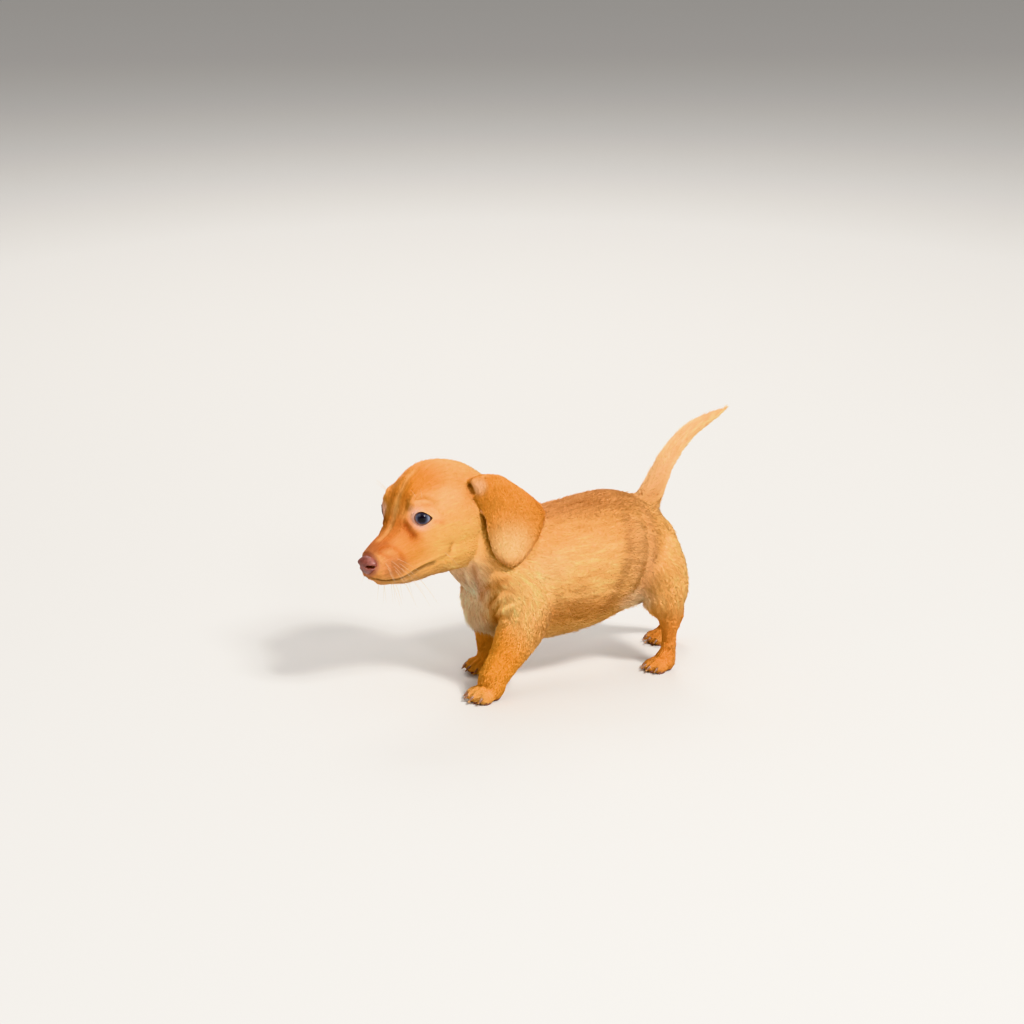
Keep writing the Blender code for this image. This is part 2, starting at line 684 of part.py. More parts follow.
def reduce_flesh(flesh, head):
    """Thins the mesh of the flesh, keeping the face finest."""
    inverse = head.inverted()
    plain = flesh.vertex_groups.new(name="plain")
    for vertex in flesh.data.vertices:
        at = inverse @ (vertex.co / MM)
        weight = 1.0
        if at.x > 0 and at.z > -36:
            weight = 0.7
        if at.x > 58 and at.z > -36:
            weight = 0.35
        if at.x > 72 and -36 < at.z < 2:
            weight = 0.2
        if vertex.co.z < 14 * MM:
            weight = 0.8
        plain.add([vertex.index], weight, "REPLACE")
    count = sum(len(face.vertices) - 2 for face in flesh.data.polygons)
    decimate = flesh.modifiers.new("decimate", "DECIMATE")
    decimate.ratio = FLESH_TRIANGLES / count
    decimate.vertex_group = "plain"
    decimate.vertex_group_factor = HEAD_FINENESS
    decimate.use_collapse_triangulate = True
    applied(flesh)
    flesh.vertex_groups.clear()
    return flesh


def cut_node(flesh, name, inside, grown):
    """Takes the flesh inside a region as a node of its own, and leaves the rest a gap away."""
    node = link(name, flesh.data.copy())
    combine(node, [inside], "INTERSECT", "MANIFOLD")
    largest_body(node.data)
    combine(flesh, [grown], "DIFFERENCE", "MANIFOLD")
    return node


def finish(thing, name, colour, roughness):
    thing.name = name
    thing.data.name = name
    thing.vertex_groups.clear()
    material = bpy.data.materials.new(name)
    material.use_nodes = True
    shader = material.node_tree.nodes["Principled BSDF"]
    shader.inputs["Base Color"].default_value = (*colour, 1)
    shader.inputs["Roughness"].default_value = roughness
    thing.data.materials.clear()
    thing.data.materials.append(material)
    for face in thing.data.polygons:
        face.use_smooth = True
    return thing


COAT_COLOUR = (0.72, 0.40, 0.17)
LEATHER_COLOUR = (0.28, 0.11, 0.09)
EYE_COLOUR = (0.05, 0.07, 0.11)


def main():
    clear_scene()
    head = head_frame()
    flesh = reduce_flesh(build_flesh(head), head)
    nodes = {}
    order = regions(head)
    combine(flesh, [block("floor", (-200, -100, -40), (240, 100, FLOOR))], "DIFFERENCE", "MANIFOLD")
    for name, inside, grown in order:
        nodes[name] = cut_node(flesh, name, inside, grown)
    largest_body(flesh.data)
    nodes["torso"] = flesh
    carve = [mouth_cutter(head), nose_mesh(head, GAP)]
    for side in (1, -1):
        carve.append(lid_opening(head, side))
        carve.append(ball("socket", eye_centre(side), (EYE_RADIUS + GAP,) * 3, head, Matrix(), 18, 12))
        carve.append(ear_mesh(head, side, GAP))
    combine(nodes["head"], carve, "DIFFERENCE", "MANIFOLD")
    largest_body(nodes["head"].data)
    for name in ("neck", "torso", "foreleg_left", "foreleg_right"):
        combine(nodes[name], [ear_mesh(head, side, GAP) for side in (1, -1)], "DIFFERENCE", "MANIFOLD")
        largest_body(nodes[name].data)
    for name, made in claws().items():
        combine(nodes[name], made, "UNION", "MANIFOLD")
        largest_body(nodes[name].data)
    for side, name in ((1, "left"), (-1, "right")):
        nodes["ear_" + name] = link("ear_" + name, ear_mesh(head, side))
        nodes["eye_" + name] = link("eye_" + name, ball("eye", eye_centre(side), (EYE_RADIUS,) * 3, head,
                                                        Matrix(), 16, 10))
    nose = link("nose", nose_mesh(head))
    combine(nose, nostril_cutters(head), "DIFFERENCE", "MANIFOLD")
    largest_body(nose.data)
    nodes["nose"] = nose
    for name, node in nodes.items():
        colour, roughness = COAT_COLOUR, 0.8
        if name.startswith("eye"):
            colour, roughness = EYE_COLOUR, 0.1
        elif name == "nose":
            colour, roughness = LEATHER_COLOUR, 0.45
        finish(node, name, colour, roughness)
        node.data.transform(Matrix.Translation(-Vector(MIDDLE) * MM))


main()
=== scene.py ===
import math

import bmesh
import bpy
import numpy as np
from mathutils import Matrix, Vector, noise
from mathutils.bvhtree import BVHTree


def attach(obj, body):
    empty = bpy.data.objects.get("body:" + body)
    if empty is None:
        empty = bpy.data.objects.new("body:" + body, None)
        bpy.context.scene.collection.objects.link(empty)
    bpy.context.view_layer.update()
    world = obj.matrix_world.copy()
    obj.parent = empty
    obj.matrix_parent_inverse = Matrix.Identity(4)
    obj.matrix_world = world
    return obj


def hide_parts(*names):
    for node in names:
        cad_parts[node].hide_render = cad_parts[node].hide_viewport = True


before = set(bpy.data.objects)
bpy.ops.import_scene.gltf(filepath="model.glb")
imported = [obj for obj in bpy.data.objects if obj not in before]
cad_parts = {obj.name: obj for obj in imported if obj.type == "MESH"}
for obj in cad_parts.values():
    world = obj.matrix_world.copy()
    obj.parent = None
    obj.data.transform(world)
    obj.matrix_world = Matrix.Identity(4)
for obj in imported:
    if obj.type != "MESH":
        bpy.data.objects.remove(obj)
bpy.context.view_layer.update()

MM = 0.001                # the script's lengths are in millimetres, Blender's in metres
TO_MM = 1000
BOTH, MIDDLE_ONLY = (1, -1), (1,)
random = np.random.default_rng(11)

# Frames, in millimetres from the model's origin


def turn(axis, degrees):
    return Matrix.Rotation(math.radians(degrees), 4, axis)


BODY = Matrix.Translation((-13.4, 3.1, 0))
HEAD = (BODY @ Matrix.Translation((161, 9, 99.5)) @ turn("Z", 11) @ turn("Y", 12.5) @ turn("X", 6)
        @ Matrix.Translation((-118, 0, 0)))
EYE_CENTRE = (67.5, 17.5, 21.5)
EYE_RADIUS = 7.6
NOSE_CENTRE = (108.8, 0, 0.4)
NOSE_REACH = np.array((6.3, 8.5, 6.7))


def eye_frame(side):
    """Its X looks out of the head and its Y runs outwards along the opening of the lids."""
    return (HEAD @ Matrix.Diagonal((1, side, 1, 1)) @ Matrix.Translation(EYE_CENTRE)
            @ turn("Z", 46) @ turn("Y", -4) @ turn("X", -12))


EYES = {"left": eye_frame(1), "right": eye_frame(-1)}
# Each paw: where it stands, its heading and its size beside a forepaw
PAWS = {
    "forepaw_left": ((70, 30.5), 4, 1.0),
    "forepaw_right": ((41, -26.5), -5, 1.0),
    "hindpaw_left": ((-68, 28.5), 3, 0.86),
    "hindpaw_right": ((-101, -26.5), -4, 0.86),
}
# The claw of each toe in the paw's frame: place and heading
TOES = ((9, 7.8, 4.4, 14), (12.5, 2.7, 4.8, 4), (12.5, -2.7, 4.8, -4), (9, -7.8, 4.4, -14))


def paw_frame(name):
    wrist, heading, size = PAWS[name]
    return BODY @ Matrix.Translation((*wrist, 0)) @ turn("Z", heading) @ Matrix.Scale(size, 4)


def seen_from(place, points):
    """Points of the model, in metres, as millimetres in another frame."""
    inverse = np.array(place.inverted())
    return points * TO_MM @ inverse[:3, :3].T + inverse[:3, 3]


def put_in(place, points):
    """Millimetres in another frame as metres in the model."""
    matrix = np.array(place)
    return (np.asarray(points, float) @ matrix[:3, :3].T + matrix[:3, 3]) * MM


def direction(azimuth, elevation):
    """The way from the model towards someone who stands at this azimuth and elevation."""
    a, e = math.radians(azimuth), math.radians(elevation)
    return Vector((math.sin(a) * math.cos(e), -math.cos(a) * math.cos(e), math.sin(e)))


# Small tools for fields over the surface: each takes one point a row


def soft_spot(points, centre, radii, softness=6.0):
    """1 inside an ellipsoid and 0 outside, with a soft edge."""
    reach = np.linalg.norm((points - np.array(centre)) / np.array(radii), axis=1)
    return 1 / (1 + np.exp(np.clip((reach - 1) * softness, -40, 40)))


def bell(distance, half, power=2):
    """1 where the distance is nothing, and little past the half width."""
    return np.exp(-(distance / half) ** power)


def line_distance(points, line):
    """How far each point lies from a bent line."""
    best = np.full(len(points), 1e9)
    for a, b in zip(np.array(line[:-1], float), np.array(line[1:], float)):
        along = np.clip(((points - a) @ (b - a)) / ((b - a) @ (b - a)), 0, 1)
        best = np.minimum(best, np.linalg.norm(points - a - along[:, None] * (b - a), axis=1))
    return best


def smooth_step(low, high, value):
    t = np.clip((value - low) / (high - low), 0, 1)
    return t * t * (3 - 2 * t)


def unit(vectors):
    return vectors / np.maximum(np.linalg.norm(vectors, axis=1, keepdims=True), 1e-12)


def mirrored(line, side):
    return [(x, y * side, z) for x, y, z in line]


def near_line(points, line, sides=BOTH):
    """How far each point lies from a line and from its mirror image, or from the line alone."""
    return np.min([line_distance(points, mirrored(line, side)) for side in sides], axis=0)


def tint(red, green, blue):
    """A colour named by its three display values, as light."""
    display = np.array((red, green, blue)) / 255
    return np.where(display <= 0.04045, display / 12.92, ((display + 0.055) / 1.055) ** 2.4)


# Mesh helpers


def piece_from(mesh, name):
    thing = bpy.data.objects.new(name, mesh)
    bpy.context.scene.collection.objects.link(thing)
    return thing


def mesh_places(mesh):
    places = np.empty(len(mesh.vertices) * 3, np.float32)
    mesh.vertices.foreach_get("co", places)
    return places.reshape(-1, 3).astype(float)


def set_places(mesh, places):
    mesh.vertices.foreach_set("co", places.astype(np.float32).ravel())
    mesh.update()


def mesh_normals(mesh):
    normals = np.empty(len(mesh.vertices) * 3, np.float32)
    mesh.vertices.foreach_get("normal", normals)
    return normals.reshape(-1, 3).astype(float)


def mesh_edges(mesh):
    edges = np.empty(len(mesh.edges) * 2, np.int32)
    mesh.edges.foreach_get("vertices", edges)
    return edges.reshape(-1, 2)


def relaxed(values, edges, passes, share=0.5, weight=None):
    """Each vertex's value moved towards the mean of its neighbours."""
    count = np.bincount(edges.ravel(), minlength=len(values)).astype(float)[:, None]
    for _ in range(passes):
        total = np.zeros_like(values)
        for k in range(values.shape[1]):
            total[:, k] = (np.bincount(edges[:, 0], values[edges[:, 1], k], len(values))
                           + np.bincount(edges[:, 1], values[edges[:, 0], k], len(values)))
        step = (total / np.maximum(count, 1) - values) * share
        values = values + (step if weight is None else step * weight[:, None])
    return values


def smooth_shaded(mesh):
    mesh.polygons.foreach_set("use_smooth", np.ones(len(mesh.polygons), bool))
    mesh.update()


def modified(thing, kind, **settings):
    """The object's mesh with one modifier applied."""
    modifier = thing.modifiers.new(kind.lower(), kind)
    for key, value in settings.items():
        setattr(modifier, key, value)
    bpy.context.view_layer.update()
    mesh = bpy.data.meshes.new_from_object(thing.evaluated_get(bpy.context.evaluated_depsgraph_get()))
    thing.modifiers.clear()
    old, thing.data = thing.data, mesh
    bpy.data.meshes.remove(old)
    return mesh


def mesh_from(bm, name):
    mesh = bpy.data.meshes.new(name)
    bm.to_mesh(mesh)
    bm.free()
    return mesh


def pour(part, whole):
    """Adds one bmesh to another and frees it."""
    mesh = mesh_from(part, "part")
    whole.from_mesh(mesh)
    bpy.data.meshes.remove(mesh)


def tree_of(bm):
    """Finds the nearest places on a bmesh, which it frees."""
    tree = BVHTree.FromBMesh(bm)
    bm.free()
    return tree


def edit_only(thing):
    for other in bpy.context.selected_objects:
        other.select_set(False)
    thing.select_set(True)
    bpy.context.view_layer.objects.active = thing
    bpy.ops.object.mode_set(mode="EDIT")


def point_values(mesh, name, values, kind="FLOAT", field="value"):
    """Keeps a value for each vertex, for the finish to read."""
    layer = mesh.attributes.new(name, kind, "POINT")
    layer.data.foreach_set(field, np.asarray(values, np.float32).ravel())


def point_colours(mesh, colours):
    values = np.ones((len(mesh.vertices), 4), np.float32)
    values[:, :3] = colours
    point_values(mesh, "markings", values, "FLOAT_COLOR", "color")


# Finishes


class Value:
    """A value of a finish. Python's arithmetic on it adds the finish's own Math nodes."""

    def __init__(self, finish, socket):
        self.finish, self.socket = finish, socket

    def maths(self, operation, *others):
        return self.finish.node("ShaderNodeMath", {"operation": operation}, dict(enumerate(others)))

    def __add__(self, other):
        return self.maths("ADD", self, other)

    __radd__ = __add__

    def __mul__(self, other):
        return self.maths("MULTIPLY", self, other)

    __rmul__ = __mul__

    def __sub__(self, other):
        return self.maths("SUBTRACT", self, other)

    def __rsub__(self, other):
        return self.maths("SUBTRACT", other, self)


class Finish:
    """A material and its shader, with its steady values set on the shader itself."""

    def __init__(self, name, **steady):
        self.material = bpy.data.materials.new(name)
        self.material.use_nodes = True
        self.tree = self.material.node_tree
        self.shader = self.tree.nodes["Principled BSDF"]
        for key, value in steady.items():
            socket = key.replace("_", " ").title().replace("Ior", "IOR")
            self.feed(self.shader.inputs[socket], value)

    def feed(self, socket, value):
        if isinstance(value, Value):
            self.tree.links.new(value.socket, socket)
        else:
            socket.default_value = value

    def node(self, kind, settings=None, inputs=None, out=0):
        made = self.tree.nodes.new(kind)
        for key, value in (settings or {}).items():
            if key == "stops":
                ramp = made.color_ramp
                while len(ramp.elements) < len(value):
                    ramp.elements.new(1)
                for element, (place, colour) in zip(ramp.elements, value):
                    element.position, element.color = place, (*colour, 1)
            else:
                setattr(made, key, value)
        for key, value in (inputs or {}).items():
            self.feed(made.inputs[key], value)
        return Value(self, made.outputs[out])

    def here(self, scale=(1, 1, 1)):
        """Object coordinates in millimetres, stretched by a scale."""
        place = self.node("ShaderNodeTexCoord", out=3)
        return self.node("ShaderNodeMapping", inputs={"Vector": place, "Scale": [TO_MM * s for s in scale]})

    def grain(self, place, size, detail=2.0, rough=0.5):
        return self.node("ShaderNodeTexNoise", inputs={"Vector": place, "Scale": 1 / size, "Detail": detail,
                                                       "Roughness": rough})

    def stretch(self, value, low, high, new_low=0.0, new_high=1.0):
        return self.node("ShaderNodeMapRange", inputs={0: value, 1: low, 2: high, 3: new_low, 4: new_high})

    def mix(self, how_much, first, second, blend="MIX"):
        first, second = (v if isinstance(v, Value) else (*v, 1) for v in (first, second))
        return self.node("ShaderNodeMix", {"data_type": "RGBA", "blend_type": blend},
                         {0: how_much, 6: first, 7: second}, out=2)

    def attribute(self, name, out=0):
        return self.node("ShaderNodeAttribute", {"attribute_name": name}, out=out)

    def number(self, name):
        return self.attribute(name, out=2)

    def colour(self, value):
        self.feed(self.shader.inputs["Base Color"], value)

    def bump(self, height, distance, strength=1.0):
        normal = self.node("ShaderNodeBump", inputs={"Height": height, "Distance": distance * MM,
                                                     "Strength": strength})
        self.feed(self.shader.inputs["Normal"], normal)


def skin_finish():
    """Fine hair lying flat, seen between the tufts, over the markings."""
    finish = Finish("coat_skin", roughness=0.8, specular_ior_level=0.25)
    hairs = finish.grain(finish.here((0.35, 1, 1)), 0.5, 3)
    clumps = finish.grain(finish.here(), 2.6, 2)
    shade = finish.stretch(hairs * 0.6 + clumps * 0.4, 0.3, 0.7, 0.72, 1.06)
    shades = finish.node("ShaderNodeCombineColor", inputs={0: shade, 1: shade, 2: shade})
    finish.colour(finish.mix(1.0, finish.attribute("markings"), shades, "MULTIPLY"))
    finish.bump(hairs, 0.35, 0.6)
    return finish.material


def coat_finish():
    """The tufts: each has its root's marking, a little lighter or darker than its neighbours, with painted
    shade at its root and painted light at its tip.
    """
    finish = Finish("coat_hair", roughness=0.6, specular_ior_level=0.3)
    finish.colour(finish.attribute("markings"))
    return finish.material


# From the middle of the pupil to the white of the eye: how far off the axis, in centimetres, and the colour
EYE_RINGS = (
    (0.0, tint(18, 16, 20)), (0.21, tint(24, 22, 30)), (0.30, tint(50, 52, 66)), (0.38, tint(86, 90, 106)),
    (0.47, tint(122, 126, 142)), (0.52, tint(78, 77, 90)), (0.56, tint(36, 32, 38)),
    (0.62, tint(110, 98, 98)), (0.68, tint(168, 154, 150)),
)


def eye_finish():
    """A slate-blue iris round a dark pupil, with painted shadow of the upper lid over its top, beneath a wet
    surface.
    """
    finish = Finish("eye_wet", roughness=0.25, specular_ior_level=0.2, coat_weight=0.8, coat_roughness=0.06,
                    coat_ior=1.33)
    rays = finish.grain(finish.attribute("ray", out=1), 0.16, 3, 0.65)
    wander = finish.number("from_axis") + (rays - 0.5) * 0.6
    rings = finish.node("ShaderNodeValToRGB", {"stops": EYE_RINGS}, {0: wander * 0.1})
    # painted shadow of the upper lid over the top of the ball
    finish.colour(finish.mix(finish.number("under_lid") * 0.8, rings, tint(34, 28, 34)))
    return finish.material


def leather_finish(name, light, dark, pebble, rough, wet):
    """Pebbled bare skin, darkened nearly to black by painted shade in its hollows."""
    finish = Finish(name, roughness=rough, coat_weight=wet, coat_roughness=0.25)
    pebbles = finish.node("ShaderNodeTexVoronoi", {"feature": "DISTANCE_TO_EDGE"},
                          {"Vector": finish.here(), "Scale": 1 / pebble})
    cloud = finish.grain(finish.here(), 3.0, 3)
    colour = finish.mix(finish.stretch(cloud, 0.35, 0.68), dark, light)
    colour = finish.mix(finish.stretch(pebbles, 0.0, 0.12, 0.55, 0.0), colour, dark * 0.6)
    # painted shade in the hollows that the mesh marks, such as the nostrils
    finish.colour(finish.mix(finish.number("hollow"), colour, dark * 0.12))
    finish.bump(pebbles, 0.12, 0.5)
    return finish.material


def claw_finish():
    finish = Finish("claw_horn", roughness=0.3, coat_weight=0.2)
    lines = finish.grain(finish.here((0.3, 1, 1)), 0.35, 2)
    finish.colour(finish.mix(lines, tint(92, 60, 46), tint(170, 128, 104)))
    finish.bump(lines, 0.05, 0.4)
    return finish.material


def whisker_finish():
    finish = Finish("whisker", roughness=0.4)
    along = finish.grain(finish.here(), 6.0, 1)
    finish.colour(finish.mix(along, tint(206, 168, 122), tint(240, 220, 190)))
    return finish.material


FINISHES = {
    "skin": skin_finish(), "hair": coat_finish(), "eye": eye_finish(),
    "nose": leather_finish("nose_skin", tint(156, 94, 84), tint(118, 66, 58), 0.85, 0.42, 0.25),
    "rim": leather_finish("lid_margin", tint(82, 48, 44), tint(50, 28, 28), 1.4, 0.35, 0.5),
    "pad": leather_finish("pad_skin", tint(150, 100, 88), tint(112, 70, 60), 0.9, 0.6, 0.1),
    "claw": claw_finish(), "whisker": whisker_finish(),
}

# The face's landmarks

FAR = 99.0                # more than any reach on the head, in millimetres
FISSURE = (5.3, 6.4, 4.6)                     # the opening between the lids: its reach inwards, outwards and up
ROUND_CORNER, POINTED_CORNER = (2.2, 2.1), (1.35, 1.5)     # how it narrows to its inner and its outer corner
MOUTH = [(115, 0, -8.4), (113.8, 3.4, -8.5), (110.4, 6.4, -9.7), (105, 8.2, -12.3), (98, 11.3, -14.5),
         (91, 14.2, -14.3), (84, 17.0, -12.0), (78, 19.4, -11.0), (73, 21.4, -11.8)]
LIP_DEPTH = (1.5, 0, 0)                       # how far the skin of the lips lies behind the mouth's line
OPENING_RADIUS, NOSE_RADIUS = 4.5, 7.0        # the mean radii of the lids' opening and of the nose


def mouth_distance(head, rise=0.0):
    """How far each point is from the line of the mouth, or from the same line raised."""
    line = [(x, y, z + rise) for x, y, z in MOUTH]
    return np.minimum(near_line(head, line), near_line(head + np.array(LIP_DEPTH), line))


def fissure_reach(eye):
    """1 on the edge of the opening between the lids, less inside it."""
    outer = eye[:, 1] > 0
    along = np.abs(eye[:, 1]) / np.where(outer, FISSURE[1], FISSURE[0])
    up = np.abs(eye[:, 2]) / FISSURE[2]
    along_power = np.where(outer, POINTED_CORNER[0], ROUND_CORNER[0])
    power = np.where(outer, POINTED_CORNER[1], ROUND_CORNER[1])
    reach = (along ** along_power + up ** power) ** (1 / power)
    return np.where(eye[:, 0] > 0, reach, FAR)


def nose_reach(head):
    """1 on the surface of the nose's leather, more outside it."""
    return np.linalg.norm((head - NOSE_CENTRE) / NOSE_REACH, axis=1)


def feature_distance(points):
    """How far each point is from the eyes' openings, the mouth's line and the nose."""
    head = seen_from(HEAD, points)
    near = mouth_distance(head)
    for place in EYES.values():
        eye = seen_from(place, points)
        off_ring = np.abs(np.hypot(eye[:, 1], eye[:, 2]) - OPENING_RADIUS)
        near = np.minimum(near, np.where(eye[:, 0] > 0, off_ring, FAR))
    return np.minimum(near, np.linalg.norm(head - NOSE_CENTRE, axis=1) - NOSE_RADIUS)


# Skin: one closed surface inside the flesh nodes

FLESH = ("head", "neck", "torso", "tail", "foreleg_left", "foreleg_right", "hindleg_left", "hindleg_right",
         "forepaw_left", "forepaw_right", "hindpaw_left", "hindpaw_right", "ear_left", "ear_right")
JOIN = 0.22               # each node grows this far, so that the thin cuts between them close
SKIN_GRID = 0.85
BODY_DETAIL = 0.24        # the share of its faces that the skin of the body keeps
SMOOTHING, SEAM_SMOOTHING = 5, 24
EAR_SKIN = 0.9            # what lies nearer than this to an ear's node is its skin
FINE_SKIN = (5.0, 2.4)    # the skin's edges are split within these distances of the features
SOLE_HEIGHT = 0.4
COAT_DEPTH = {"body": 0.85, "head": 0.6, "face": 0.45, "paws": 0.5, "ears": 0.45}
# Where the cuts between the nodes are smoothed away: frame, centre and radii
SEAMS = ((BODY, (-60, 32, 94), (30, 16, 16)), (BODY, (-60, -32, 94), (30, 16, 16)),
         (BODY, (52, 0, 124), (26, 30, 16)), (BODY, (44, 38, 92), (24, 14, 12)),
         (BODY, (44, -38, 92), (24, 14, 12)), (BODY, (-72, 0, 116), (16, 20, 16)),
         (HEAD, (24, 28, 31), (14, 10, 7)), (HEAD, (24, -28, 29), (14, 10, 7)))


def welded_copy(node, grow=0.0):
    """The node's surface as one welded bmesh, grown a little."""
    bm = bmesh.new()
    bm.from_mesh(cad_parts[node].data)
    bmesh.ops.remove_doubles(bm, verts=bm.verts, dist=2e-6)
    bm.normal_update()
    for v in bm.verts:
        v.co += v.normal * grow * MM
    return bm


def joined_flesh():
    whole = bmesh.new()
    for node in FLESH + ("nose", "eye_left", "eye_right"):
        pour(welded_copy(node, JOIN), whole)
    return piece_from(mesh_from(whole, "skin"), "skin")


def node_distance(points, node):
    """How far each point is from a CAD node's surface, in millimetres."""
    tree = tree_of(welded_copy(node))
    return np.array([tree.find_nearest(Vector(p))[3] for p in points]) * TO_MM


def ear_distance(points):
    return np.minimum(node_distance(points, "ear_left"), node_distance(points, "ear_right"))


def coat_depth(points, ear):
    """How far the skin lies inside the solids."""
    head = seen_from(HEAD, points)
    body = seen_from(BODY, points)
    depth = np.where(head[:, 0] > -5, COAT_DEPTH["head"], COAT_DEPTH["body"])
    depth = np.where(head[:, 0] > 60, COAT_DEPTH["face"], depth)
    depth = np.where(body[:, 2] < 20, COAT_DEPTH["paws"], depth)
    return np.where(ear, COAT_DEPTH["ears"], depth) + JOIN


def coarsened_body(skin):
    """The skin under the body's coat is made coarser, and the head is left fine."""
    mesh = skin.data
    head = seen_from(HEAD, mesh_places(mesh))
    far = (head[:, 0] < 8) | (head[:, 2] < -45)
    faces = np.array([far[list(p.vertices)].all() for p in mesh.polygons])
    mesh.vertices.foreach_set("select", far)
    mesh.edges.foreach_set("select", far[mesh_edges(mesh)].all(axis=1))
    mesh.polygons.foreach_set("select", faces)
    edit_only(skin)
    bpy.ops.mesh.decimate(ratio=BODY_DETAIL)
    bpy.ops.object.mode_set(mode="OBJECT")


def refined(mesh, near):
    """Splits the edges between the marked vertices, once."""
    bm = bmesh.new()
    bm.from_mesh(mesh)
    bm.verts.ensure_lookup_table()
    edges = [e for e in bm.edges if near[e.verts[0].index] and near[e.verts[1].index]]
    bmesh.ops.subdivide_edges(bm, edges=edges, cuts=1, use_grid_fill=True)
    bmesh.ops.triangulate(bm, faces=[f for f in bm.faces if len(f.verts) > 4])
    bm.to_mesh(mesh)
    bm.free()
    mesh.update()


# Grooves of the head's skin: line in the head's frame, half width, depth
WRINKLES = (
    (((78, 20, -10), (70, 22.5, -11.5), (64.5, 24.5, -10.5), (60, 26, -7.5), (57, 27.5, -3)), 1.8, 0.5),
    (((71.6, 18.2, 34.0), (66.7, 21.1, 33.5), (63.4, 23.1, 31.2), (60.5, 24.8, 28.4)), 1.0, 0.8),
    (((74, 15, 34.4), (69, 19, 35.0), (63, 22.5, 33.4)), 0.8, 0.25),
    (((66, 27.0, 19.5), (61, 29.5, 18.0), (56, 31.0, 17.0)), 1.0, 0.3),
    (((80.3, 11.2, 19.4), (80.4, 13.4, 16.2), (80.2, 16, 13)), 2.2, 0.3),
    (((104, 9.6, 2.4), (99, 11.8, 3.6), (94, 13.2, 2.6)), 1.2, 0.35),
)
# The mouth's groove and the lips above and below it: rise over the mouth's line, half width, swelling
LIPS = ((0.0, 0.85, -1.6), (2.1, 1.2, 0.5), (-1.8, 1.1, 0.15))
LIP_GROOVE = ((116, 0, -4), (116, 0, -9))     # from the nose down to the mouth
WHISKER_SPOTS = tuple((103.5 - column * 4.2 - row * 0.6, 0, 0.5 - row * 3.1 - column * 0.4)
                      for row in range(4) for column in range(5))
MOAT = 1.32               # the skin round the nose sinks up to this reach
LID_RADIUS, LID_SWELLING, SOCKET_RADIUS = 8.55, 0.45, 7.1
LID_CREASE, CREASE_DEPTH = 1.62, 0.35         # the reach of the crease over the upper lid
EYE_REGION = 14           # nothing further than this from the middle of the eye is moved


def lips_and_wrinkles(points, normals):
    head = seen_from(HEAD, points)
    push = np.zeros(len(points))
    for line, half, depth in WRINKLES:
        for side in BOTH:
            push -= depth * bell(line_distance(head, mirrored(line, side)), half)
    for rise, half, swelling in LIPS:
        push += swelling * bell(mouth_distance(head, rise), half)
    push -= 0.8 * bell(line_distance(head, LIP_GROOVE), 0.8)
    for spot in WHISKER_SPOTS:
        flat = np.linalg.norm((head - np.array(spot))[:, [0, 2]], axis=1)
        for side in BOTH:
            push += 0.16 * bell(flat, 0.75) * (head[:, 1] * side > 4)
    return points + normals * push[:, None] * MM


def sunk_round_nose(points):
    """The skin lies deeper round the nose, so that the leather stands free of it."""
    away = (seen_from(HEAD, points) - NOSE_CENTRE) / NOSE_REACH
    reach = np.linalg.norm(away, axis=1, keepdims=True)
    sunk = NOSE_CENTRE + away / reach * (reach - 0.4 * (1 - smooth_step(1.0, MOAT, reach))) * NOSE_REACH
    return np.where(reach < MOAT, put_in(HEAD, sunk), points)


def with_lids(points, place):
    """The lids lie on the eyeball, with a socket behind their opening and a crease over it."""
    eye = seen_from(place, points)
    reach = fissure_reach(eye)
    radius = np.linalg.norm(eye, axis=1)
    lid = LID_RADIUS + LID_SWELLING * smooth_step(1.0, 1.5, reach)
    inside = SOCKET_RADIUS + (lid - SOCKET_RADIUS) * smooth_step(0.86, 1.0, reach)
    wanted = np.where(reach < 1, inside, lid)
    new = radius + (wanted - radius) * (1 - smooth_step(1.35, 2.0, reach))
    off_crease = (reach - LID_CREASE) * FISSURE[2]
    new -= CREASE_DEPTH * bell(off_crease, 0.7) * (eye[:, 2] > 0.5) * (eye[:, 0] > 0)
    scale = np.where(radius < EYE_REGION, new / np.maximum(radius, 1e-6), 1.0)
    return put_in(place, eye * scale[:, None])


def make_skin():
    """The flesh nodes as one closed surface, sunk by the coat's depth and finer round the features."""
    skin = joined_flesh()
    mesh = modified(skin, "REMESH", mode="VOXEL", voxel_size=SKIN_GRID * MM)
    points, edges = mesh_places(mesh), mesh_edges(mesh)
    body, head = seen_from(BODY, points), seen_from(HEAD, points)
    firm = np.where((head[:, 0] > 60) & (head[:, 2] > -30), 0.5, 1.0)     # the face keeps more of its form
    firm = np.where(body[:, 2] < 15, 0.6, firm)                           # and so do the paws
    points = relaxed(points, edges, SMOOTHING, 0.6, firm)
    seams = np.max([soft_spot(seen_from(place, points), *spot) for place, *spot in SEAMS], axis=0)
    points = relaxed(points, edges, SEAM_SMOOTHING, 0.6, seams)
    set_places(mesh, points)
    depth = coat_depth(points, ear_distance(points) < EAR_SKIN)
    points = points - mesh_normals(mesh) * (depth * MM)[:, None]
    points[:, 2] = np.maximum(points[:, 2], SOLE_HEIGHT * MM)
    set_places(mesh, relaxed(points, edges, 1, 0.5))
    coarsened_body(skin)
    mesh = skin.data
    for reach in FINE_SKIN:
        refined(mesh, feature_distance(mesh_places(mesh)) < reach)
    points = sunk_round_nose(lips_and_wrinkles(mesh_places(mesh), mesh_normals(mesh)))
    for place in EYES.values():
        points = with_lids(points, place)
    set_places(mesh, points)
    bm = bmesh.new()
    bm.from_mesh(mesh)
    bmesh.ops.triangulate(bm, faces=bm.faces)
    bm.to_mesh(mesh)
    bm.free()
    smooth_shaded(mesh)
    return skin
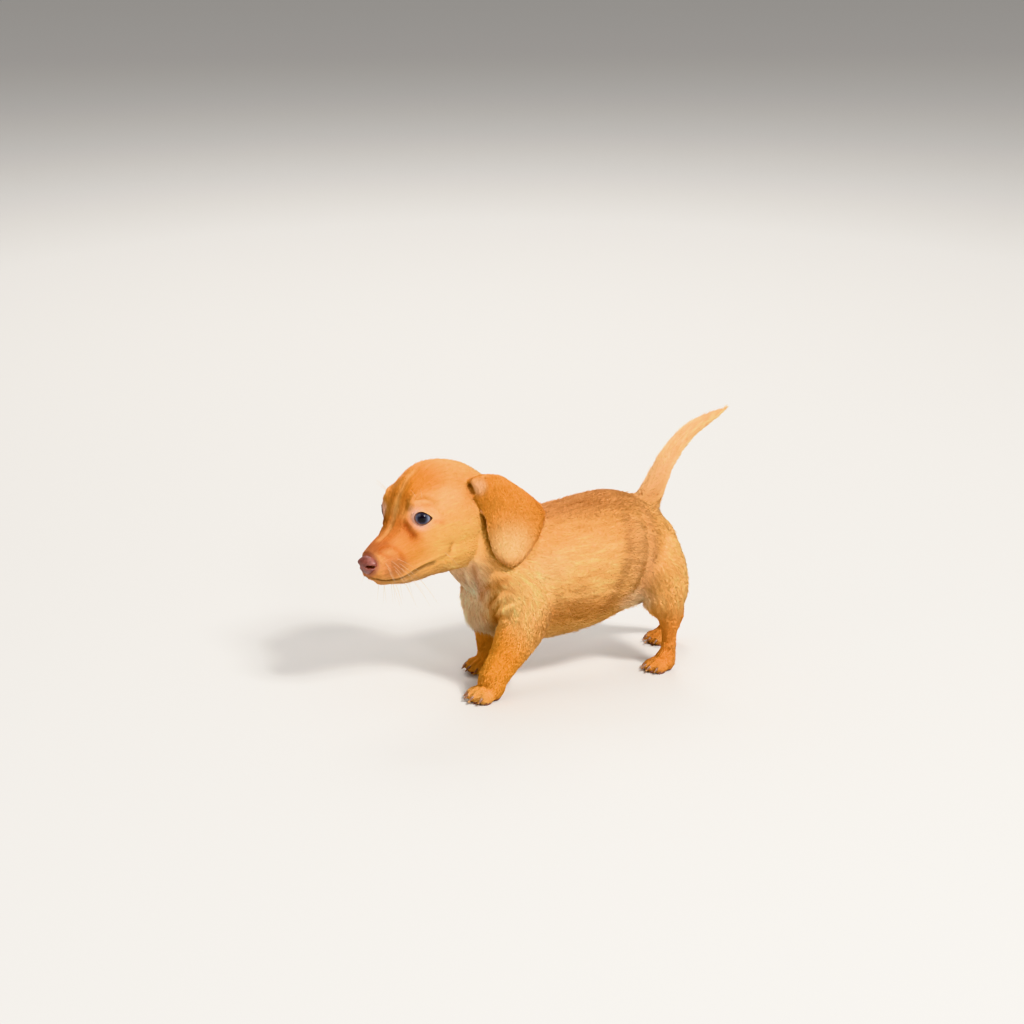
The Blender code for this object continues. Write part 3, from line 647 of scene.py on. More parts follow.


# Markings, with painted shade and painted highlights among them: frame, sides, centre, radii, how strong,
# colour

BASE_COLOUR = tint(240, 178, 106)
PALER = 0.94              # light that bounces between the tufts deepens their colour, which this evens out
MARKS_AND_PAINTED_LIGHT = (
    # the body
    (BODY, MIDDLE_ONLY, (-16, 0, 130), (66, 32, 20), 0.85, tint(160, 98, 54)),
    (BODY, MIDDLE_ONLY, (40, 0, 124), (40, 26, 14), 0.6, tint(182, 118, 70)),
    (BODY, BOTH, (5, 38, 82), (36, 12, 26), 0.5, tint(255, 204, 136)),
    (BODY, BOTH, (50, 36, 70), (20, 14, 26), 0.8, tint(255, 206, 136)),
    (BODY, BOTH, (30, 40, 92), (16, 12, 12), 0.35, tint(255, 212, 156)),
    # darker hair and painted shade in the hollow of the flank before the thigh
    (BODY, BOTH, (-42, 36, 88), (13, 14, 34), 0.75, tint(214, 158, 104)),
    (BODY, BOTH, (-72, 36, 76), (15, 12, 24), 0.5, tint(252, 196, 124)),
    (BODY, MIDDLE_ONLY, (-10, 0, 30), (52, 26, 9), 0.6, tint(214, 166, 112)),
    (BODY, BOTH, (-40, 26, 56), (15, 14, 9), 0.6, tint(250, 214, 172)),
    (BODY, BOTH, (8, 36, 52), (40, 10, 14), 0.6, tint(188, 116, 58)),
    (BODY, MIDDLE_ONLY, (68, 0, 72), (12, 18, 26), 0.75, tint(255, 220, 182)),
    (BODY, MIDDLE_ONLY, (64, 3, 48), (14, 17, 9), 0.8, tint(240, 210, 172)),
    (BODY, MIDDLE_ONLY, (76, 2, 90), (13, 18, 16), 0.85, tint(255, 234, 204)),
    (BODY, MIDDLE_ONLY, (79, 16, 92), (9, 9, 8), 0.3, tint(250, 200, 140)),
    (BODY, MIDDLE_ONLY, (-84, 0, 70), (10, 14, 22), 0.6, tint(206, 162, 104)),
    (BODY, MIDDLE_ONLY, (-96, 0, 148), (44, 18, 34), 0.65, tint(250, 204, 148)),
    (BODY, MIDDLE_ONLY, (64, 32, 24), (20, 16, 32), 0.8, tint(232, 148, 54)),
    (BODY, MIDDLE_ONLY, (42, -28, 18), (22, 18, 30), 0.75, tint(220, 138, 58)),
    (BODY, MIDDLE_ONLY, (-68, 29, 16), (20, 16, 28), 0.7, tint(220, 130, 54)),
    (BODY, MIDDLE_ONLY, (-102, -28, 16), (22, 16, 28), 0.7, tint(220, 130, 54)),
    # the head
    (HEAD, MIDDLE_ONLY, (64, 0, 45), (26, 27, 17), 0.9, tint(206, 124, 46)),
    (HEAD, MIDDLE_ONLY, (24, 0, 50), (26, 28, 18), 0.5, tint(238, 180, 116)),
    # painted shade in the hollow over the eye's inner corner, where the brow meets the bridge
    (HEAD, BOTH, (73.5, 8, 32), (8, 6, 8), 0.4, tint(196, 110, 38)),
    # painted highlight on the temple behind the brow
    (HEAD, BOTH, (50, 27, 28), (10, 8, 8), 0.6, tint(255, 212, 152)),
    (HEAD, BOTH, (30, 28, 26), (22, 12, 16), 0.5, tint(236, 164, 92)),
    (HEAD, BOTH, (58, 28, 0), (26, 14, 18), 0.8, tint(255, 200, 120)),
    (HEAD, BOTH, (48, 29, 16), (12, 9, 8), 0.5, tint(246, 184, 112)),
    (HEAD, BOTH, (66, 23, 33), (10, 8, 4), 0.45, tint(250, 190, 120)),
    (HEAD, BOTH, (86, 17, 4), (12, 9, 11), 0.6, tint(220, 142, 62)),
    (HEAD, MIDDLE_ONLY, (101, 0, 11), (13, 12, 8), 0.9, tint(158, 84, 50)),
    (HEAD, MIDDLE_ONLY, (88, 0, 18), (15, 12, 10), 0.8, tint(192, 102, 42)),
    (HEAD, BOTH, (98, 12, -4), (10, 7, 8), 0.85, tint(194, 122, 78)),
    (HEAD, MIDDLE_ONLY, (107, 0, -8), (8, 9, 7), 0.5, tint(214, 138, 96)),
    (HEAD, MIDDLE_ONLY, (92, 0, -21), (26, 15, 8), 0.6, tint(226, 172, 120)),
    (HEAD, MIDDLE_ONLY, (55, 0, -30), (26, 20, 10), 0.6, tint(226, 176, 126)),
)
# Marks along lines, with painted shade and painted highlights among them: frame, sides, line, half width,
# strength, colour
STRIPES_AND_PAINTED_LIGHT = (
    # the two edges of the flank's hollow before the thigh: darker hair and painted shade
    (BODY, BOTH, ((-34, 28, 115), (-31, 36, 102), (-29, 40, 90), (-25, 40, 76), (-20, 38, 64), (-13, 32, 51)),
     4.6, 0.5, tint(172, 112, 66)),
    (BODY, BOTH, ((-53, 20, 117), (-54, 30, 104), (-53, 35, 90), (-50, 36, 77), (-46, 34, 66)),
     4.4, 0.5, tint(176, 120, 78)),
    # painted shade in the folds of loose skin at the throat and in front of the shoulder
    (BODY, BOTH, ((79, 18, 93), (76, 17, 86), (72.5, 14.5, 78), (70, 14, 71)), 2.4, 0.5, tint(190, 108, 50)),
    (BODY, BOTH, ((62, 33, 87), (67, 29, 83), (70, 20, 79), (70, 14, 73)), 2.3, 0.45, tint(196, 112, 44)),
    (BODY, BOTH, ((59, 36, 80), (65, 26, 73), (67, 20, 67), (67, 21, 63)), 2.3, 0.45, tint(196, 112, 44)),
    # painted shade in the crease where the foreleg meets the chest
    (BODY, BOTH, ((66, 31, 62), (64, 23, 60), (63, 20, 55)), 2.0, 0.75, tint(168, 88, 34)),
    # painted shade down the hollow between the brow and the bridge
    (HEAD, BOTH, ((72.6, 6.7, 33.8), (78, 4.6, 26), (83, 5.2, 19.5)), 3.0, 0.25, tint(190, 106, 40)),
    # painted highlight along the ridge of the forehead and the bridge
    (HEAD, MIDDLE_ONLY, ((58, 0, 47), (67, 0, 42), (74, 0, 34), (79, 0, 25), (87, 0, 16.5), (96, 0, 13)),
     2.6, 0.45, tint(255, 200, 126)),
    # painted shade in the crevice in front of the ear's root
    (HEAD, BOTH, ((32.6, 25.2, 29.8), (32.6, 27, 26), (32.2, 28.7, 20)), 2.4, 0.7, tint(150, 78, 36)),
    (HEAD, BOTH, ((102, 6.4, 9.8), (97, 9.2, 10), (94.5, 11.4, 8.8), (92, 14.2, 4.5), (91.2, 15.4, -1)),
     1.7, 0.55, tint(190, 96, 38)),
    (HEAD, BOTH, ((103.5, 8, 7.5), (102, 10.6, 5.2), (99, 12.6, 3)), 1.2, 0.5, tint(188, 92, 42)),
    # painted shade in the wrinkle below and behind the eye
    (HEAD, BOTH, ((66, 26.2, 17.6), (62, 28, 15.2)), 1.7, 0.55, tint(206, 112, 50)),
    # the brow's wrinkles: painted shade in the two creases and a painted highlight on the fold between them
    (HEAD, BOTH, ((71.6, 18.2, 34.2), (66.7, 21.1, 33.8), (63.4, 23.1, 31.4), (60.5, 24.8, 28.4)),
     1.2, 0.7, tint(176, 98, 40)),
    (HEAD, BOTH, ((72.2, 17.6, 32.2), (67.3, 21.4, 31.9), (63.6, 23.9, 29.4)), 1.0, 0.6, tint(255, 206, 146)),
    (HEAD, BOTH, ((71.2, 19.4, 29.8), (66.6, 23.2, 29.6), (62.4, 26.0, 26.2)), 1.1, 0.45, tint(196, 112, 50)),
    # painted shade in the fold that runs back from the mouth's corner
    (HEAD, BOTH, ((74, 21, -10.5), (66, 25, -10), (61, 27, -5.5), (59, 28, -1)), 1.5, 0.55, tint(176, 104, 54)),
)
# What runs down from the eyes' inner corners, and the edge of the left ear's flap
STAIN = ((80.3, 12.0, 18.2), (80.4, 13.8, 15.6), (80.2, 16.0, 13.0), (80.1, 17.4, 11.6))
EAR_RIM = ((38, 26, 141), (30, 30, 130), (30, 32, 120), (35, 33, 111), (42, 35, 103), (48, 37, 97),
           (56, 37, 94), (64, 34, 96), (68, 31, 100))


def laid(colour, mask, mark):
    """A mark over the colour, as strong as the mask."""
    return colour + (mark - colour) * mask[:, None]


def eye_markings(colour, eye):
    """Pale pink skin round the lids, most of all at their inner corner, a lavender edge and dark margins."""
    reach, ahead = fissure_reach(eye), eye[:, 0] > 0
    inward = np.clip(0.62 - eye[:, 1] * 0.09 - eye[:, 2] * 0.05, 0.15, 1)
    halo = (1 - smooth_step(1.4, 2.4, reach)) * inward * ahead
    edge = bell(reach - 1.24, 0.14) * inward * ahead
    rim = (1 - smooth_step(1.02, 1.14, reach)) * ahead
    colour = laid(colour, halo * 0.85, tint(255, 202, 168))
    colour = laid(colour, edge * 0.7, tint(190, 150, 152))
    return laid(colour, rim * 0.9, tint(96, 60, 56))


def markings(points):
    """The coat's colour at each point, with painted shade and painted highlights in places."""
    colour = np.tile(BASE_COLOUR, (len(points), 1))
    for place, sides, centre, radii, strength, mark in MARKS_AND_PAINTED_LIGHT:
        seen = seen_from(place, points)
        mask = np.max([soft_spot(seen, np.array(centre) * (1, side, 1), radii) for side in sides], axis=0)
        colour = laid(colour, mask * strength, mark)
    for place, sides, line, half, strength, mark in STRIPES_AND_PAINTED_LIGHT:
        near = near_line(seen_from(place, points), line, sides)
        colour = laid(colour, bell(near, half) * strength, mark)
    for place in EYES.values():
        colour = eye_markings(colour, seen_from(place, points))
    head = seen_from(HEAD, points)
    stain = near_line(head, STAIN)
    colour = laid(colour, bell(stain, 5.6) * 0.45, tint(190, 86, 34))
    colour = laid(colour, bell(stain, 2.9) * 0.75, tint(146, 54, 18))
    colour = laid(colour, bell(mouth_distance(head), 1.7, 4) * 0.95, tint(62, 28, 18))
    colour = laid(colour, (1 - smooth_step(1.05, 1.4, nose_reach(head))) * 0.85, tint(168, 98, 80))
    return colour ** PALER


def inner_side(points, normals):
    """1 on the side of the flap that faces the cheek."""
    return smooth_step(0.1, 0.6, -normals[:, 1] * np.sign(points[:, 1]))


def ear_colour_and_highlight(colour, points, normals, ear):
    """The flap is redder, most of all along its edge, with a painted highlight where it folds at the root, and
    pinkish inside.
    """
    body = seen_from(BODY, points)
    colour = laid(colour, 0.85 * ear, tint(214, 140, 64))
    colour = laid(colour, soft_spot(body, (57, 32, 108), (14, 10, 14), 3.5) * 0.85 * ear, tint(255, 216, 156))
    colour = laid(colour, bell(line_distance(body, EAR_RIM), 4.5) * 0.55 * ear, tint(200, 118, 56))
    # painted highlight on the fold at the ear's root
    colour = laid(colour, soft_spot(body, (76, 22, 151), (5, 5, 5)) * 0.5 * ear, tint(255, 216, 176))
    return laid(colour, inner_side(points, normals) * 0.65 * ear, tint(232, 172, 134))


# Lie of the coat: frame, sides, a line that the hair follows

LIES = (
    (HEAD, BOTH, ((112, 3, 8), (100, 5, 13), (88, 7, 18), (80, 8, 27), (70, 8, 40), (55, 9, 50), (35, 10, 50),
                  (12, 8, 36), (0, 6, 20))),
    (HEAD, BOTH, ((110, 7, 0), (100, 12, 2), (92, 14, 4), (84, 18, 6), (76, 22, 8), (64, 27, 6), (48, 31, 2),
                  (32, 31, 0), (16, 27, -4), (2, 20, -8))),
    (HEAD, BOTH, ((110, 6, -6), (102, 11, -8), (92, 14, -9), (82, 18, -6), (70, 23, -6), (56, 27, -9),
                  (40, 28, -14), (24, 25, -20), (10, 20, -24))),
    (HEAD, BOTH, ((110, 3, -12), (100, 6, -18), (84, 8, -24), (64, 10, -28), (44, 12, -30), (24, 12, -28))),
    (HEAD, BOTH, ((84, 13, 15), (80, 15, 24), (74, 15, 32), (66, 18, 36), (54, 24, 38), (38, 28, 34),
                  (20, 24, 28), (6, 18, 16))),
    (HEAD, BOTH, ((84, 15, 14), (78, 20, 13), (70, 25, 13), (60, 29, 16), (48, 31, 18), (32, 31, 18),
                  (14, 24, 12))),
    (BODY, BOTH, ((80, 6, 140), (66, 8, 130), (50, 12, 124), (30, 14, 122), (0, 14, 123), (-30, 14, 126),
                  (-56, 12, 122), (-76, 10, 108), (-84, 9, 90), (-86, 8, 70))),
    (BODY, BOTH, ((78, 18, 122), (62, 26, 112), (46, 32, 104), (26, 36, 100), (0, 38, 100), (-26, 38, 102),
                  (-48, 36, 100), (-66, 32, 88), (-76, 30, 72))),
    (BODY, BOTH, ((76, 22, 104), (66, 28, 92), (54, 34, 82), (36, 38, 76), (10, 40, 76), (-16, 39, 78),
                  (-38, 37, 76), (-54, 33, 64))),
    (BODY, BOTH, ((78, 8, 92), (72, 9, 78), (66, 10, 64), (58, 12, 50), (40, 14, 38), (16, 16, 31),
                  (-10, 16, 33), (-36, 14, 40), (-56, 12, 48))),
    (BODY, BOTH, ((70, 20, 82), (66, 22, 68), (60, 24, 56))),
    (BODY, BOTH, ((30, 34, 58), (6, 34, 52), (-18, 34, 52), (-40, 32, 54))),
    (BODY, BOTH, ((-62, 34, 90), (-64, 36, 76), (-68, 36, 62), (-72, 32, 48))),
    (BODY, BOTH, ((-80, 20, 96), (-86, 18, 82), (-86, 18, 68), (-82, 22, 56))),
    (BODY, MIDDLE_ONLY, ((-58, 0, 100), (-70, 0, 119), (-76, 0, 130), (-83, 0, 142), (-92, 0, 153),
                         (-102, 0, 162), (-112, 0, 167), (-122, 0, 171), (-132, 0, 175))),
    (BODY, MIDDLE_ONLY, ((48, 36, 86), (46, 38, 70), (48, 38, 54), (54, 34, 40), (62, 32, 27), (69, 31, 16),
                         (74, 31, 11), (82, 31, 7), (88, 31, 2))),
    (BODY, MIDDLE_ONLY, ((44, -34, 86), (41, -36, 70), (40, -34, 54), (43, -30, 38), (43, -28, 26),
                         (42, -27, 15), (46, -27, 11), (54, -27, 7), (60, -27, 2))),
    (BODY, MIDDLE_ONLY, ((-70, 30, 44), (-71, 29, 33), (-70, 28.5, 24), (-69, 28.5, 15), (-64, 28.5, 10),
                         (-57, 28.5, 6), (-52, 28.5, 2))),
    (BODY, MIDDLE_ONLY, ((-66, -32, 80), (-76, -34, 66), (-90, -31, 50), (-104, -28, 34), (-109, -26.5, 23),
                         (-104, -26.5, 13), (-96, -26.5, 9), (-89, -26.5, 5), (-84, -26.5, 2))),
)
LIE_REACH = 11.0          # how far a line of the coat's lie is followed
BLOCK = 4000              # vertices taken at a time, for the memory's sake
EAR_WAY = (-0.12, 0.0, -1.0)
EAR_FRONT = 0.036         # before this place the ear's hair falls straighter, and behind it more backwards


def on_surface(ways, normals):
    return unit(ways - normals * (ways * normals).sum(axis=1)[:, None])


def lie_of_coat(points, normals, edges, ear):
    """The way the hair lies at each point, along the surface."""
    places, ways = [], []
    for place, sides, line in LIES:
        for side in sides:
            run = put_in(place, mirrored(line, side))
            places.extend((run[:-1] + run[1:]) / 2)
            ways.extend(unit(run[1:] - run[:-1]))
    places, ways = np.array(places), np.array(ways)
    lie = np.zeros_like(points)
    for start in range(0, len(points), BLOCK):
        part = points[start:start + BLOCK]
        gap = np.linalg.norm(part[:, None] - places[None], axis=2) * TO_MM
        near = bell(gap, LIE_REACH) + 1e-3 / (1 + gap) ** 2
        lie[start:start + BLOCK] = near @ ways / near.sum(axis=1)[:, None]
    flap = np.tile(EAR_WAY, (len(points), 1))
    flap[:, 0] += np.where(points[:, 0] < EAR_FRONT, -0.25, 0.1)
    lie = np.where(ear[:, None] > 0.5, flap, lie)
    for _ in range(4):
        lie = relaxed(on_surface(lie, normals), edges, 8)
    return on_surface(lie, normals)


# Coat: frame, centre, radii, then length, width, lift in degrees and tufts per square millimetre

COAT_BASE = (4.6, 0.40, 9, 2.9)
COAT_SPOTS = (
    (BODY, (-20, 0, 34), (60, 30, 12), (6.0, 0.40, 15, 2.9)),
    (BODY, (64, 0, 66), (16, 26, 34), (6.2, 0.36, 17, 3.4)),
    (BODY, (62, 3, 47), (15, 18, 10), (9.0, 0.30, 26, 3.6)),
    (BODY, (-40, 26, 54), (12, 12, 7), (8.5, 0.30, 24, 3.4)),
    (BODY, (-86, 0, 72), (14, 26, 26), (6.5, 0.38, 16, 3.2)),
    (BODY, (-96, 0, 150), (50, 18, 40), (4.0, 0.34, 13, 4.0)),
    (BODY, (60, 30, 26), (26, 20, 34), (3.4, 0.30, 7.5, 4.2)),
    (BODY, (42, -28, 26), (22, 20, 34), (3.4, 0.30, 7.5, 4.2)),
    (BODY, (-70, 28, 24), (18, 18, 30), (3.2, 0.30, 11, 4.4)),
    (BODY, (-104, -28, 24), (24, 18, 30), (3.2, 0.30, 11, 4.4)),
    (BODY, (80, 30, 4), (24, 18, 10), (2.2, 0.26, 12, 5.5)),
    (BODY, (50, -27, 4), (24, 18, 10), (2.2, 0.26, 12, 5.5)),
    (BODY, (-60, 28, 4), (22, 16, 9), (2.2, 0.26, 12, 5.5)),
    (BODY, (-92, -27, 4), (22, 16, 9), (2.2, 0.26, 12, 5.5)),
    (HEAD, (30, 0, 12), (46, 40, 52), (3.0, 0.30, 9, 4.8)),
    (HEAD, (78, 0, 12), (30, 34, 36), (2.2, 0.24, 10, 7.0)),
    (HEAD, (106, 0, 0), (20, 20, 24), (1.5, 0.20, 11, 9.5)),
)
EAR_COAT = (2.6, 0.27, 8, 4.6)
LATTICE_SIZE = 48
LATTICE = random.normal(0, 1, (LATTICE_SIZE,) * 3)


def streaks(points, way, grain, reach):
    """Uneven patches of a grain across, drawn out to each side along the lie of the coat."""
    total = np.zeros(len(points))
    for step in np.linspace(-reach, reach, 7):
        place = (points * TO_MM + way * step) / grain
        cell = np.floor(place).astype(int)
        share = smooth_step(0, 1, place - cell)
        for corner in np.ndindex(2, 2, 2):
            x, y, z = ((cell + corner) % LATTICE_SIZE).T
            total += np.where(corner, share, 1 - share).prod(axis=1) * LATTICE[x, y, z]
    return total / total.std()


def coat_sizes(points, ear):
    """Length, width, lift and how many tufts, at each point. Lids, lips, nose and soles are bare."""
    sizes = np.tile(np.array(COAT_BASE, float), (len(points), 1))
    for place, centre, radii, values in COAT_SPOTS:
        mask = soft_spot(seen_from(place, points), centre, radii, 9.0)[:, None]
        sizes += (np.array(values) - sizes) * mask
    sizes += (np.array(EAR_COAT) - sizes) * ear[:, None]
    head = seen_from(HEAD, points)
    bare = bell(mouth_distance(head), 1.65, 4)
    bare = np.maximum(bare, 1 - smooth_step(1.12, 1.24, nose_reach(head)))
    for place in EYES.values():
        reach = fissure_reach(seen_from(place, points))
        bare = np.maximum(bare, 1 - smooth_step(1.16, 1.3, reach))
        close = 1 - smooth_step(1.1, 2.2, reach)
        sizes[:, 0] -= sizes[:, 0] * 0.45 * close
        sizes[:, 3] *= 1 - 0.25 * close
    sizes[:, 3] *= (bare <= 0.5) & (points[:, 2] >= 2 * SOLE_HEIGHT * MM)
    return sizes


def unwrapped(skin):
    """Lays the skin's own faces flat, for the tufts' places in the baked picture."""
    skin.data.uv_layers.new(name="OFBake")
    edit_only(skin)
    bpy.ops.mesh.select_all(action="SELECT")
    bpy.ops.uv.smart_project(angle_limit=math.radians(70), island_margin=0.001)
    bpy.ops.object.mode_set(mode="OBJECT")


def skin_fields(skin):
    """What the tufts take from the skin: places, normals, ears, the lie of the coat and the tufts' sizes."""
    mesh = skin.data
    points, normals, edges = mesh_places(mesh), mesh_normals(mesh), mesh_edges(mesh)
    ear = (ear_distance(points) < 1.0).astype(float)
    ear = smooth_step(0.2, 0.8, relaxed(ear[:, None], edges, 4)[:, 0])
    point_colours(mesh, ear_colour_and_highlight(markings(points), points, normals, ear))
    sizes = coat_sizes(points, ear)
    sizes[:, 3] *= 1 - 0.45 * ear * inner_side(points, normals)
    return points, normals, ear, lie_of_coat(points, normals, edges, ear), sizes


def scatter(mesh, density):
    """Roots spread over the faces: for each its face, the face's corners and its share of each corner."""
    count = len(mesh.polygons)
    corners = np.empty(count * 3, np.int32)
    mesh.polygons.foreach_get("vertices", corners)
    corners = corners.reshape(-1, 3)
    area = np.empty(count, np.float32)
    mesh.polygons.foreach_get("area", area)
    wanted = area * TO_MM ** 2 * density[corners].mean(axis=1)
    number = (wanted + random.random(count)).astype(int)
    faces = np.repeat(np.arange(count), number)
    a, b = random.random(len(faces)), random.random(len(faces))
    flip = a + b > 1
    a, b = np.where(flip, 1 - a, a), np.where(flip, 1 - b, b)
    return faces, corners[faces], np.stack((1 - a - b, a, b), axis=1)


STRAYS, STRAY_LIFT = 0.05, 14                 # the share of tufts that stand up, and by how many degrees more
ROOT_DEPTH = 0.12                             # how far a tuft starts under the skin
RIDGE_PLACE, RIDGE_HEIGHT = 0.35, 0.34        # beside the tuft's length and its width
TIP_DROOP = 0.05                              # beside its length
FLOOR_GAP = 0.15                              # no tuft reaches lower than this over the floor


def tuft_places(root, normal, way, size, strand, clump):
    """The four points of each tuft: two at the root, a ridge and a tip."""
    count = len(root)
    across = np.cross(normal, way)
    wander = (random.normal(0, 0.13, count) + 0.08 * clump)[:, None]
    way = unit(way * np.cos(wander) + across * np.sin(wander))
    across = np.cross(normal, way)
    length = size[:, 0] * (0.75 + 0.5 * random.random(count))
    stray = np.where(random.random(count) < STRAYS, STRAY_LIFT, 0)
    lift = np.radians(size[:, 2] * (0.6 + 0.8 * random.random(count) + 0.25 * strand) + stray)[:, None]
    width = size[:, 1] * (0.8 + 0.4 * random.random(count))
    ahead = way * np.cos(lift) + normal * np.sin(lift)
    length, width = length[:, None] * MM, width[:, None] * MM
    base = root - normal * ROOT_DEPTH * MM
    places = np.stack((base - across * width / 2, base + across * width / 2,
                       root + ahead * length * RIDGE_PLACE + normal * width * RIDGE_HEIGHT,
                       root + ahead * length - normal * length * TIP_DROOP), axis=1)
    places[:, :, 2] = np.maximum(places[:, :, 2], FLOOR_GAP * MM)
    return places


def tuft_shades(colour, length, strand, clump):
    """The colour at the four points of each tuft: deeper at the root, as painted shade, and paler at the tip,
    as painted light.
    """
    count = len(colour)
    rough = smooth_step(1.8, 4.6, length)[:, None]
    tone = 1 + random.normal(0, 0.05, count) + 0.075 * strand + 0.05 * clump * (length > 3.8)
    warm = 1 + random.normal(0, 0.02, (count, 3))
    colour = np.clip(colour * tone[:, None] ** np.array((0.8, 1.1, 1.4)) * warm, 0.01, 0.98)
    # painted shade at the tuft's root and painted light at its tip
    root_shade = colour * (0.88 - 0.14 * rough)
    tip = np.minimum(colour * (1.05 + 0.07 * rough), 0.98)
    return np.stack((root_shade, root_shade, colour * 0.99, tip), axis=1)


TUFT_CORNERS = (0, 1, 2, 1, 3, 2, 3, 0, 2, 0, 3, 1)
TUFT_PATCH = 0.003        # a tuft's size in the baked picture
PATCH_CORNERS = ((-0.5, -0.5), (0.5, -0.5), (0.5, 0.5), (-0.5, 0.5))


def tuft_mesh(name, places, shades, patches):
    """Closed four-faced slivers. There are far too many of them for a bmesh."""
    count = len(places)
    mesh = bpy.data.meshes.new(name)
    mesh.vertices.add(count * 4)
    mesh.vertices.foreach_set("co", places.astype(np.float32).ravel())
    corner = (np.arange(count)[:, None] * 4 + np.array(TUFT_CORNERS)).astype(np.int32).ravel()
    mesh.loops.add(count * 12)
    mesh.loops.foreach_set("vertex_index", corner)
    mesh.polygons.add(count * 4)
    mesh.polygons.foreach_set("loop_start", np.arange(0, count * 12, 3, dtype=np.int32))
    mesh.update(calc_edges=True)
    smooth_shaded(mesh)
    point_colours(mesh, shades.reshape(-1, 3))
    flat = (patches[:, None] + np.array(PATCH_CORNERS) * TUFT_PATCH).reshape(-1, 2)[corner]
    mesh.uv_layers.new(name="OFBake").data.foreach_set("uv", flat.astype(np.float32).ravel())
    mesh.materials.append(FINISHES["hair"])
    return mesh


TUFTS_IN_PIECE = 46000


def coat_regions(root, ear):
    """The pieces of the coat. A tuft belongs to the first that takes it."""
    head, body = seen_from(HEAD, root), seen_from(BODY, root)
    on_head = (head[:, 0] > -2) & (head[:, 2] > -34) & (ear < 0.5)
    forward, height = body[:, 0], body[:, 2]
    left = root[:, 1] > 0.003
    return {
        "coat_ears": ear >= 0.5,
        "coat_muzzle": on_head & (head[:, 0] > 84),
        "coat_face": on_head & (head[:, 0] > 60),
        "coat_crown": on_head,
        "coat_tail": (height > 108) & (forward < -60),
        "coat_paws": height < 16,
        "coat_forelegs": (height < 58) & (forward > 20) & (np.abs(body[:, 1]) > 15),
        "coat_hindlegs": (height < 66) & (forward < -48),
        "coat_chest": forward > 30,
        "coat_flank_left": left,
        "coat_flank_right": ~left,
    }


def make_coat(skin):
    """Short tufts over the whole skin, lying along it."""
    points, normals, ear, lie, sizes = skin_fields(skin)
    flat = np.empty(len(skin.data.loops) * 2, np.float32)
    skin.data.uv_layers["OFBake"].data.foreach_get("uv", flat)
    faces, corners, share = scatter(skin.data, sizes[:, 3])
    share = share[:, :, None]
    root, normal, way, size, ear = ((values[corners] * share).sum(axis=1)
                                    for values in (points, normals, lie, sizes, ear[:, None]))
    normal, way, ear = unit(normal), unit(way), ear[:, 0]
    patch = (flat.reshape(-1, 3, 2)[faces] * share).sum(axis=1)
    strand, clump = streaks(root, way, 0.9, 3.0), streaks(root, way, 2.6, 6.0)
    places = tuft_places(root, normal, way, size, strand, clump)
    colour = ear_colour_and_highlight(markings(root), root, normal, ear)
    shades = tuft_shades(colour, size[:, 0], strand, clump)
    free = np.ones(len(root), bool)
    for region, chosen in coat_regions(root, ear).items():
        index = np.flatnonzero(chosen & free)
        free[index] = False
        for number, start in enumerate(range(0, len(index), TUFTS_IN_PIECE)):
            part = index[start:start + TUFTS_IN_PIECE]
            name = region if not number else f"{region}_{number + 1}"
            coat = piece_from(tuft_mesh(name, places[part], shades[part], patch[part]), name)
            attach(coat, "root")


# Eyes, nose, claws, pads and whiskers


def finished(bm, name, place, finish, node=None):
    """A small piece, made in millimetres in its own frame, put in its place in the model."""
    bm.transform(Matrix.Scale(MM, 4) @ place)
    if place.determinant() < 0:
        bmesh.ops.reverse_faces(bm, faces=bm.faces)
    mesh = mesh_from(bm, name)
    smooth_shaded(mesh)
    mesh.materials.append(FINISHES[finish])
    thing = piece_from(mesh, name)
    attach(thing, "root")
    if node:
        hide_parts(node)
    return thing


CORNEA = 5.6              # how far the cornea reaches from the axis of sight
CORNEA_BULGE = 0.55
LID_SHADOW = (1.4, 4.0)    # painted shadow of the upper lid: the ball darkens between these heights
BACK_OF_EYE = 20          # added to the reach behind the ball's middle, so that all of it is white


def make_eye(side, place):
    """A ball with a slightly bulging cornea, its pole on the axis of sight."""
    bm = bmesh.new()
    bmesh.ops.create_uvsphere(bm, u_segments=72, v_segments=56, radius=EYE_RADIUS + 0.05,
                              matrix=turn("Y", 90))
    for v in bm.verts:
        off_axis = math.hypot(v.co.y, v.co.z)
        if v.co.x > 0 and off_axis < CORNEA:
            v.co.x += CORNEA_BULGE * (1 - (off_axis / CORNEA) ** 2) ** 1.5
    x, y, z = np.array([v.co for v in bm.verts]).T
    off_axis = np.hypot(y, z)
    thing = finished(bm, f"eyeball_{side}", place, "eye", f"eye_{side}")
    point_values(thing.data, "from_axis", off_axis + np.where(x < 0, BACK_OF_EYE, 0))
    # painted shadow of the upper lid: none below the first height, full over the second
    low, high = LID_SHADOW
    point_values(thing.data, "under_lid", np.clip((z - low) / (high - low), 0, 1))
    rays = np.stack((np.arctan2(z, y) * 2.2, off_axis * 0.12, np.zeros(len(x))), axis=1)
    point_values(thing.data, "ray", rays, "FLOAT_VECTOR", "vector")


MARGIN_RADIUS = 8.05      # how far the lids' margin lies from the middle of the eye
MARGIN_THICKNESS = 0.66
MARGIN_REACH = 0.97       # it lies just inside the edge of the opening


def fissure_radius(angle):
    """How far the margin of the lids lies from the middle of the opening, at an angle round it."""
    low, high = 0.5, 12.0
    for _ in range(30):
        middle = (low + high) / 2
        place = np.array([[1, math.cos(angle) * middle, math.sin(angle) * middle]])
        inside = fissure_reach(place)[0] < MARGIN_REACH
        low, high = (middle, high) if inside else (low, middle)
    return low


